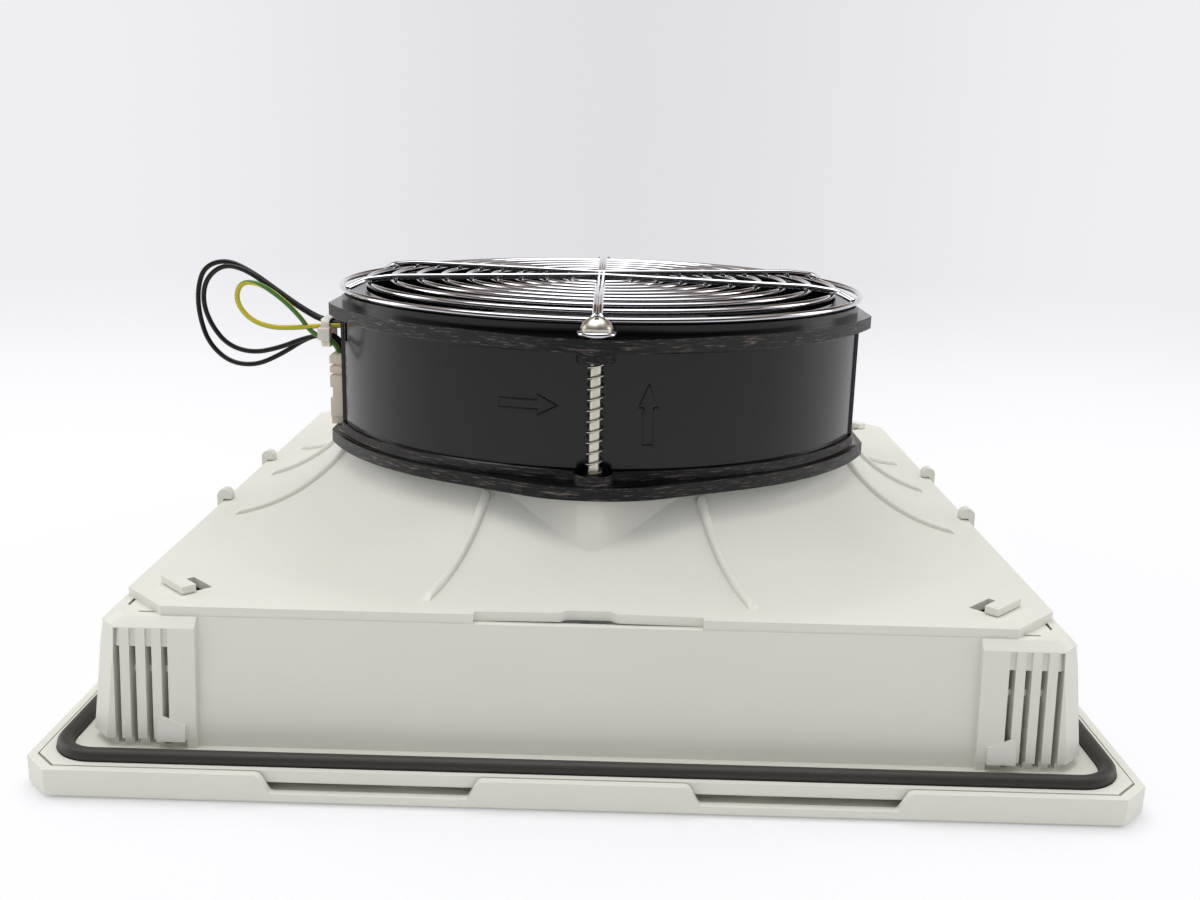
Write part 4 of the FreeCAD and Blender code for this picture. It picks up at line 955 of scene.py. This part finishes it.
@dataclass
class FingerGuard:
    """Chrome rings under two bent cross rods and two hairpin arms that loop round the screws."""

    ring_radius: float = 98.5
    ring_pitch: float = 9.28
    ring_count: int = 10
    wire: float = 1.1
    wire_sides: int = 16
    flange_z: float = 128.4
    rises: tuple[float, ...] = (4.0, 5.5, 6.3, 6.6)
    weld: float = 0.45
    arm_wire: float = 0.88
    arm_sides: int = 14
    arm_bend: float = 1.6
    arm_parting: float = 0.93
    screw_y: float = 105.0
    eye_radius: float = 5.6
    eye_start: float = 0.1
    eye_points: int = 17
    rod_bend: float = 2.6
    rod_middle: float = 5.5
    rod_slope: float = 0.285
    rod_knee: float = 76.0
    rod_reach: float = 86.0
    rod_foot_angle: float = 23.5
    smooth: float = 70.0

    def rings(self) -> list[Surface]:
        """The rings, outermost first, with more points on the wider ones.

        Returns:
            A tube for each ring.
        """
        found = []
        for index in range(self.ring_count):
            radius = self.ring_radius - index * self.ring_pitch
            z = self.flange_z + self.rises[min(index, len(self.rises) - 1)]
            found.append(ring_tube(radius, self.wire, z, int(96 + 1.6 * radius), self.wire_sides))
        return found

    def cross_rod(self, side: int) -> Surface:
        """Rod bent near the axis that lies on the rings and turns down to the outer one.

        The corners of one half are (x, y, z) from the middle outward, and the other half mirrors it in x.

        Args:
            side: 1 for the rod behind the axis, -1 for the one before it.

        Returns:
            The rod.
        """
        lift = 2 * self.wire - self.weld
        angle = math.radians(self.rod_foot_angle)
        foot = np.array([self.ring_radius * math.cos(angle), side * self.ring_radius * math.sin(angle)])
        x = np.array([self.rod_knee, self.rod_reach])
        y = side * (self.rod_middle + self.rod_slope * x)
        z = self.flange_z + np.array([self.rises[3], self.rises[1]]) + lift
        foot_z = self.flange_z + self.rises[0] + self.wire
        half = np.concatenate([np.stack([x, y, z], axis=1), [[*foot, foot_z]]])
        middle = np.array([[0.0, side * self.rod_middle, self.flange_z + self.rises[3] + lift]])
        corners = np.concatenate([half[::-1] * [-1, 1, 1], middle, half])
        return swept_tube(rounded_path(corners, self.rod_bend), self.wire, self.wire_sides, (0, 0, 1))

    def hairpin(self, side: int) -> Surface:
        """Two wires side by side over the rings that part before the screw and meet round its front.

        The corners of one leg are (x, y, z) from the middle outward, and the other leg mirrors it in x.

        Args:
            side: 1 for the arm behind the axis, -1 for the one before it.

        Returns:
            The arm.
        """
        lift = self.wire + self.arm_wire - self.weld
        low = self.flange_z + self.arm_wire + 0.15
        ring = self.ring_radius
        top = self.flange_z + self.rises[3] + lift
        side_x = self.arm_wire * self.arm_parting
        leg = np.array(
            [
                [side_x, self.rod_middle - 1, top],
                [side_x, ring - 3 * self.ring_pitch, top],
                [side_x, ring - self.ring_pitch - 1, self.flange_z + self.rises[1] + lift],
                [side_x, ring - 1.8, self.flange_z + self.rises[0] + lift + 0.1],
                [side_x * 1.1, ring - 0.2, self.flange_z + self.rises[0] + lift],
                [1.9, ring + 0.7, low + 3.3],
                [3.3, ring + 1.1, low + 1.7],
                [4.6, ring + 2.1, low + 0.5],
                [5.4, ring + 3.9, low],
            ]
        )
        turn = np.linspace(self.eye_start, math.pi - self.eye_start, self.eye_points)
        eye_x, eye_y = self.eye_radius * np.cos(turn), self.screw_y + self.eye_radius * np.sin(turn)
        loop = np.stack([eye_x, eye_y, np.full(self.eye_points, low)], axis=1)
        corners = np.concatenate([leg, loop, leg[::-1] * [-1, 1, 1]])
        corners[:, 1] *= side
        path = rounded_path(corners, self.arm_bend, 5)
        return swept_tube(path, self.arm_wire, self.arm_sides, (0.15, 0, 1))

    def build(self) -> list[Piece]:
        """Makes the guard as one welded piece.

        Returns:
            The piece.
        """
        parts = self.rings()
        for side in (-1, 1):
            parts += [self.cross_rod(side), self.hairpin(side)]
        guard = make_object("guard_wires", join_all(parts), Finishes.CHROME.material(), self.smooth)
        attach(guard, "housing")
        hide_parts("finger_guard")
        return [guard]


@dataclass
class GuardScrews:
    """The two long tapping screws, their coarse thread and their washers."""

    screw_y: float = 105.0
    core: float = 1.75
    crest: float = 2.85
    pitch: float = 3.4
    root_sunk: float = 0.15
    flank_half: float = 0.62
    crest_half: float = 0.1
    turn_points: int = 28
    thread_low: float = 62.5
    thread_high: float = 124.0
    thread_smooth: float = 20.0
    edge: float = 0.12
    smooth: float = 30.0

    def thread(self) -> Surface:
        """Helical ridge: a low triangle in (r, z), turned by a and raised by pitch a / 2 pi.

        Over half a turn at either end it sinks into the core.

        Returns:
            The ridge of one screw, about Z.
        """
        turns = (self.thread_high - self.thread_low) / self.pitch
        a = np.linspace(0.0, turns * 2 * math.pi, int(turns * self.turn_points))
        run_out = np.clip(np.minimum(a, a[-1] - a) / math.pi, 0.0, 1.0)
        root = self.core - self.root_sunk
        radial = np.array([root, self.crest, self.crest, root])
        height = np.array([-self.flank_half, -self.crest_half, self.crest_half, self.flank_half])
        reach = root + (radial - root)[None] * run_out[:, None]
        z = self.thread_low + (self.pitch * a / (2 * math.pi))[:, None] + height[None]
        points = np.stack([reach * np.cos(a)[:, None], reach * np.sin(a)[:, None], z], axis=-1)
        return Surface(points.reshape(-1, 3), grid_faces(len(a), 4, False, True))

    def build(self) -> list[Piece]:
        """Dresses the screws and washers and adds the threads.

        Returns:
            The pieces.
        """
        zinc = Finishes.ZINC.material()
        nodes = ("guard_screws", "guard_washers")
        pieces = [dress_copy(node, zinc, self.edge, self.smooth) for node in nodes]
        both = join_all([self.thread().moved(0, side * self.screw_y, 0) for side in (-1, 1)])
        threads = make_object("guard_screw_threads", both, zinc, self.thread_smooth)
        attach(threads, "housing")
        return pieces + [threads]


@dataclass
class Terminal:
    """The light terminal block on the barrel's flat and its clamp screws."""

    edge: float = 0.2

    def build(self) -> list[Piece]:
        """Dresses the block and the screws.

        Returns:
            The pieces.
        """
        return [
            dress_copy("terminal_block", Finishes.TERMINAL.material(), self.edge),
            paint_node("terminal_screws", Finishes.ZINC.material()),
        ]


@dataclass
class Leads:
    """Three short leads that loop out of the barrel and back to the terminal block, gathered by a tie."""

    radius: float = 0.9
    sides: int = 16
    steps: int = 10
    smooth: float = 70.0
    tie_edge: float = 0.15
    outer: tuple[Point, ...] = (
        (-94.6, -18.5, 118.0), (-102.5, -19.0, 118.4), (-111.5, -20.5, 123.5), (-120.5, -21.5, 130.2),
        (-129.5, -22.0, 136.8), (-138.5, -22.0, 141.0), (-147.0, -22.0, 138.3), (-149.8, -22.5, 130.0),
        (-149.6, -22.8, 120.2), (-146.5, -23.2, 109.8), (-139.0, -23.0, 102.6), (-129.0, -22.5, 101.6),
        (-119.0, -21.5, 106.4), (-110.5, -20.0, 112.0), (-103.5, -18.8, 113.9), (-98.6, -17.8, 112.4),
        (-96.5, -17.0, 108.05),
    )
    inner: tuple[Point, ...] = (
        (-94.6, -22.0, 118.0), (-102.5, -22.5, 118.4), (-111.5, -25.0, 124.2), (-121.0, -27.0, 131.6),
        (-130.0, -28.0, 138.2), (-138.0, -28.2, 139.8), (-144.6, -28.3, 134.5), (-146.2, -28.5, 126.0),
        (-143.2, -28.5, 117.0), (-137.4, -28.3, 109.8), (-128.5, -27.5, 107.2), (-119.0, -26.0, 109.2),
        (-110.5, -24.0, 112.6), (-103.5, -22.4, 113.9), (-98.6, -22.1, 112.4), (-96.5, -22.0, 108.05),
    )
    earth: tuple[Point, ...] = (
        (-94.6, -25.5, 118.0), (-102.5, -26.3, 118.0), (-112.0, -30.0, 117.4), (-121.0, -32.0, 117.6),
        (-128.6, -32.5, 120.9), (-132.8, -32.5, 127.6), (-130.6, -32.5, 134.0), (-124.0, -32.3, 133.8),
        (-117.0, -31.5, 129.0), (-110.5, -29.5, 122.0), (-107.0, -27.6, 115.8), (-103.0, -26.3, 113.4),
        (-98.6, -26.5, 112.4), (-96.5, -27.0, 108.05),
    )

    def cord_curve(self, name: str, route: Sequence[Point], finish: Finishes) -> Piece:
        """A lead as a round NURBS curve of order 3 on the route's points.

        Args:
            name: the piece's name.
            route: control points in millimetres.
            finish: its sleeve.

        Returns:
            The curve object.
        """
        curve = bpy.data.curves.new(name, "CURVE")
        curve.dimensions = "3D"
        curve.bevel_depth = self.radius * MM
        curve.bevel_resolution = 5
        curve.use_fill_caps = True
        curve.resolution_u = self.steps
        spline = curve.splines.new("NURBS")
        spline.points.add(len(route) - 1)
        flat = np.concatenate([np.asarray(route, float) * MM, np.ones((len(route), 1))], axis=1)
        spline.points.foreach_set("co", flat.reshape(-1).astype(np.float32))
        spline.order_u = 3
        spline.use_endpoint_u = True
        spline.use_smooth = True
        curve.materials.append(finish.material())
        lead = bpy.data.objects.new(name, curve)
        bpy.context.scene.collection.objects.link(lead)
        return lead

    def declare(self, lead: Piece, node: str, route: Sequence[Point]) -> None:
        """Rides a lead on the housing and hides the CAD node whose place it takes.

        Args:
            lead: the piece.
            node: the CAD node.
            route: its control points in millimetres.
        """
        line = quadratic_spline(np.asarray(route, float), self.steps) * MM
        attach(lead, "housing")
        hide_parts(node)

    def build(self) -> list[Piece]:
        """Makes the leads and dresses their tie.

        Returns:
            The pieces.
        """
        outer = self.cord_curve("lead_outer_sleeve", self.outer, Finishes.SLEEVE)
        self.declare(outer, "lead_black_outer", self.outer)
        inner = self.cord_curve("lead_inner_sleeve", self.inner, Finishes.SLEEVE)
        self.declare(inner, "lead_black_inner", self.inner)
        line = quadratic_spline(np.asarray(self.earth, float), self.steps)
        tube = swept_tube(line, self.radius, self.sides, (0.05, 1, 0.1))
        earth = make_object("lead_earth_sleeve", tube, Finishes.EARTH.material(), self.smooth)
        self.declare(earth, "lead_earth", self.earth)
        return [outer, inner, earth, dress_copy("cable_tie", Finishes.TIE.material(), self.tie_edge)]


@dataclass(frozen=True)
class SoftBox:
    """An area lamp: its place, what it faces and its width and height in metres, and its watts."""

    name: str
    place: Point
    size: tuple[float, float]
    watts: float
    target: Point = (0.0, 0.0, 0.06)

    def build(self) -> None:
        """Hangs the lamp and turns it to its target."""
        data = bpy.data.lights.new(self.name, "AREA")
        data.shape = "RECTANGLE"
        data.size, data.size_y = self.size
        data.energy = self.watts
        lamp = bpy.data.objects.new(self.name, data)
        lamp.location = self.place
        aim = Vector(self.target) - Vector(self.place)
        lamp.rotation_mode = "QUATERNION"
        lamp.rotation_quaternion = aim.to_track_quat("-Z", "Y")
        bpy.context.scene.collection.objects.link(lamp)


@dataclass
class Studio:
    """Pale floor, soft lamps and the camera of the photograph.

    The camera's place and the floor's half width and drop are millimetres and its angles degrees. The
    floor_near and floor_far are metres from the origin, and the rest of the room is parts of a direction.
    """

    camera_place: Point = (4.829, -477.69, 185.319)
    pitch: float = 13.954
    yaw: float = -0.452
    roll: float = 1.399
    lens: float = 36.82
    sensor: float = 36.0
    clip: tuple[float, float] = (0.02, 20.0)
    backdrop_colour: str = "#EFEEF2"
    middle_level: float = 0.87
    middle_spread: float = 0.42
    least_ahead: float = 0.05
    middle_from: float = 0.6
    middle_full: float = 0.85
    near_glow: float = 1.14
    floor_colour: str = "#EDEDED"
    floor_roughness: float = 0.9
    floor_half: float = 6000.0
    floor_drop: float = 0.2
    floor_near: float = 0.3
    floor_far: float = 1.4
    floor_fill: float = 0.35
    world_light: float = 0.74
    gap_height: float = 0.5
    gap_half: float = 0.4
    gap_level: float = 0.1
    gap_colour: str = "#C39B74"
    room_level: float = 0.12
    room_full: float = -0.7
    room_edge: float = 0.0
    lamps: tuple[SoftBox, ...] = (
        SoftBox("soft_box_above", (-0.1, 0.1, 1.4), (1.6, 1.2), 13.0),
        SoftBox("soft_box_left", (-1.3, 0.25, 0.35), (0.5, 1.2), 4.0),
        SoftBox("soft_box_right", (1.3, 0.25, 0.35), (0.5, 1.2), 4.0),
    )

    def camera(self) -> None:
        """Places the camera from its pitch, yaw and roll.

        The view direction is (sin y cos p, cos y cos p, -sin p). Right and up are turned about it by the
        roll.
        """
        pitch, yaw, roll = (math.radians(a) for a in (self.pitch, self.yaw, self.roll))
        ahead = Vector((math.sin(yaw) * math.cos(pitch), math.cos(yaw) * math.cos(pitch), -math.sin(pitch)))
        level = Vector((math.cos(yaw), -math.sin(yaw), 0))
        up = level.cross(ahead)
        right = math.cos(roll) * level + math.sin(roll) * up
        top = math.cos(roll) * up - math.sin(roll) * level
        data = bpy.data.cameras.new("photo_camera")
        data.lens = self.lens
        data.sensor_width = self.sensor
        data.sensor_fit = "HORIZONTAL"
        data.clip_start, data.clip_end = self.clip
        camera = bpy.data.objects.new("photo_camera", data)
        turn = Matrix((right, top, -ahead)).transposed()
        camera.matrix_world = Matrix.Translation(Vector(self.camera_place) * MM) @ turn.to_4x4()
        bpy.context.scene.collection.objects.link(camera)
        bpy.context.scene.camera = camera

    def reflected(self, tree: Tree) -> Node:
        """One for rays that come from a reflection or through a clear body, and otherwise nothing.

        Args:
            tree: the nodes to add to.

        Returns:
            The node.
        """
        path = add_node(tree, "ShaderNodeLightPath").outputs
        either = {0: path["Is Glossy Ray"], 1: path["Is Transmission Ray"]}
        return add_node(tree, "ShaderNodeMath", either, operation="MAXIMUM")

    def shown(self, tree: Tree) -> Node:
        """One for the rays of reflected and for those of the camera, and otherwise nothing.

        Args:
            tree: the nodes to add to.

        Returns:
            The node.
        """
        path = add_node(tree, "ShaderNodeLightPath").outputs
        either = {0: path["Is Camera Ray"], 1: self.reflected(tree)}
        return add_node(tree, "ShaderNodeMath", either, operation="MAXIMUM")

    def middle(self, tree: Tree, across: Socket, ahead: Socket) -> Node:
        """Level of the backdrop, which is a little darker behind the unit than at its sides.

        It goes by across / ahead, and near the unit it stays at one.

        Args:
            tree: the nodes to add to.
            across: the distance sideways.
            ahead: the distance towards the back.

        Returns:
            The node with the level, from middle_level to one.
        """
        side = add_node(tree, "ShaderNodeMath", {0: across}, operation="ABSOLUTE")
        depth = add_node(tree, "ShaderNodeMath", {0: ahead, 1: self.least_ahead}, operation="MAXIMUM")
        slant = add_node(tree, "ShaderNodeMath", {0: side, 1: depth}, operation="DIVIDE")
        dip = {"Value": slant, "From Max": self.middle_spread, "To Min": self.middle_level}
        level = add_node(tree, "ShaderNodeMapRange", dip, interpolation_type="SMOOTHSTEP")
        start = {"Value": ahead, "From Min": self.middle_from, "From Max": self.middle_full}
        nearby = add_node(tree, "ShaderNodeMapRange", start | {"To Min": 1.0, "To Max": 0.0})
        return add_node(tree, "ShaderNodeMath", {0: level, 1: nearby}, operation="MAXIMUM")

    def world(self) -> None:
        """Even light and a pale backdrop, and in reflections a dark open side and a gap under the lamps."""
        world = bpy.data.worlds.new("studio")
        bpy.context.scene.world = world
        world.use_nodes = True
        tree = world.node_tree
        tree.nodes.clear()
        place = add_node(tree, "ShaderNodeTexCoord").outputs["Generated"]
        parts = add_node(tree, "ShaderNodeSeparateXYZ", {0: place}).outputs
        open_side = {
            "Value": parts["Y"],
            "From Min": self.room_full,
            "From Max": self.room_edge,
            "To Min": self.room_level,
        }
        room = add_node(tree, "ShaderNodeMapRange", open_side, interpolation_type="SMOOTHSTEP")
        height = add_node(tree, "ShaderNodeMath", {0: parts["Z"]}, operation="ABSOLUTE")
        above = add_node(tree, "ShaderNodeMath", {0: height, 1: self.gap_height}, operation="SUBTRACT")
        away = add_node(tree, "ShaderNodeMath", {0: above}, operation="ABSOLUTE")
        gap = {"Value": away, "From Max": self.gap_half, "To Min": self.gap_level}
        walls = add_node(tree, "ShaderNodeMapRange", gap, interpolation_type="SMOOTHSTEP")
        shade = add_node(tree, "ShaderNodeMath", {0: room, 1: walls}, operation="MULTIPLY")
        middle = self.middle(tree, parts["X"], parts["Y"])
        mirrored = self.reflected(tree)
        seen = add_node(tree, "ShaderNodeMapRange", {"Value": mirrored, "To Min": middle, "To Max": shade})
        rays = {"Value": self.shown(tree), "To Min": self.world_light, "To Max": seen}
        level = add_node(tree, "ShaderNodeMapRange", rays)
        pale = linear(self.backdrop_colour)
        warm = {0: walls, 6: linear(self.gap_colour), 7: pale}
        tint = add_node(tree, "ShaderNodeMix", warm, data_type="RGBA")
        both = {0: mirrored, 6: pale, 7: tint.outputs[2]}
        hue = add_node(tree, "ShaderNodeMix", both, data_type="RGBA")
        light = add_node(tree, "ShaderNodeBackground", {"Color": hue.outputs[2], "Strength": level})
        add_node(tree, "ShaderNodeOutputWorld", {"Surface": light})

    def floor(self) -> None:
        """A pale floor that melts into the backdrop, keeps the unit's shadow and is clear from below."""
        corners = np.array([[-1, -1], [1, -1], [1, 1], [-1, 1]]) * self.floor_half
        points = np.column_stack([corners, np.full(4, -self.floor_drop)])
        material = Finish("studio_floor", self.floor_colour, self.floor_roughness).build()
        tree = material.node_tree
        place = add_node(tree, "ShaderNodeTexCoord").outputs["Object"]
        reach = add_node(tree, "ShaderNodeVectorMath", {0: place}, operation="LENGTH").outputs["Value"]
        ring = {"Value": reach, "From Min": self.floor_near, "From Max": self.floor_far}
        fill = ring | {"To Min": self.floor_fill}
        far = add_node(tree, "ShaderNodeMapRange", fill, interpolation_type="SMOOTHSTEP")
        share = add_node(tree, "ShaderNodeMath", {0: far, 1: self.shown(tree)}, operation="MULTIPLY")
        parts = add_node(tree, "ShaderNodeSeparateXYZ", {0: place}).outputs
        camera_y = self.camera_place[1] * MM
        behind = add_node(tree, "ShaderNodeMath", {0: parts["Y"], 1: camera_y}, operation="SUBTRACT")
        middle = self.middle(tree, parts["X"], behind.outputs[0])
        near = add_node(tree, "ShaderNodeMapRange", ring | {"To Min": self.near_glow, "To Max": 1.0})
        power = add_node(tree, "ShaderNodeMath", {0: near, 1: middle}, operation="MULTIPLY")
        lit = {"Color": linear(self.backdrop_colour), "Strength": power}
        glow = add_node(tree, "ShaderNodeEmission", lit)
        paint = tree.nodes["Principled BSDF"]
        upper = add_node(tree, "ShaderNodeMixShader", {0: share, 1: paint, 2: glow})
        lower = add_node(tree, "ShaderNodeBsdfTransparent")
        below = add_node(tree, "ShaderNodeNewGeometry").outputs["Backfacing"]
        sided = add_node(tree, "ShaderNodeMixShader", {0: below, 1: upper, 2: lower})
        tree.links.new(sided.outputs[0], tree.nodes["Material Output"].inputs["Surface"])
        make_object("studio_floor", Surface(points, np.array([[0, 1, 2, 3]])), material)

    def build(self) -> None:
        """Sets up the whole studio."""
        self.camera()
        self.world()
        self.floor()
        for lamp in self.lamps:
            lamp.build()
        bpy.context.scene.view_settings.view_transform = "Standard"


def main() -> None:
    """Builds every sub-assembly in order and reports its pieces."""
    logging.basicConfig(level=logging.INFO, format="%(message)s")
    assemblies = [Mouldings(), SealAndMat(), AxialFan(), FingerGuard(), GuardScrews(), Terminal(), Leads()]
    for assembly in assemblies:
        for piece in assembly.build():
            faces = len(piece.data.polygons) if piece.type == "MESH" else 0
            log.info("%s: %s, %d faces", type(assembly).__name__, piece.name, faces)
    Studio().build()
    bpy.context.view_layer.update()


if __name__ == "__main__":
    main()
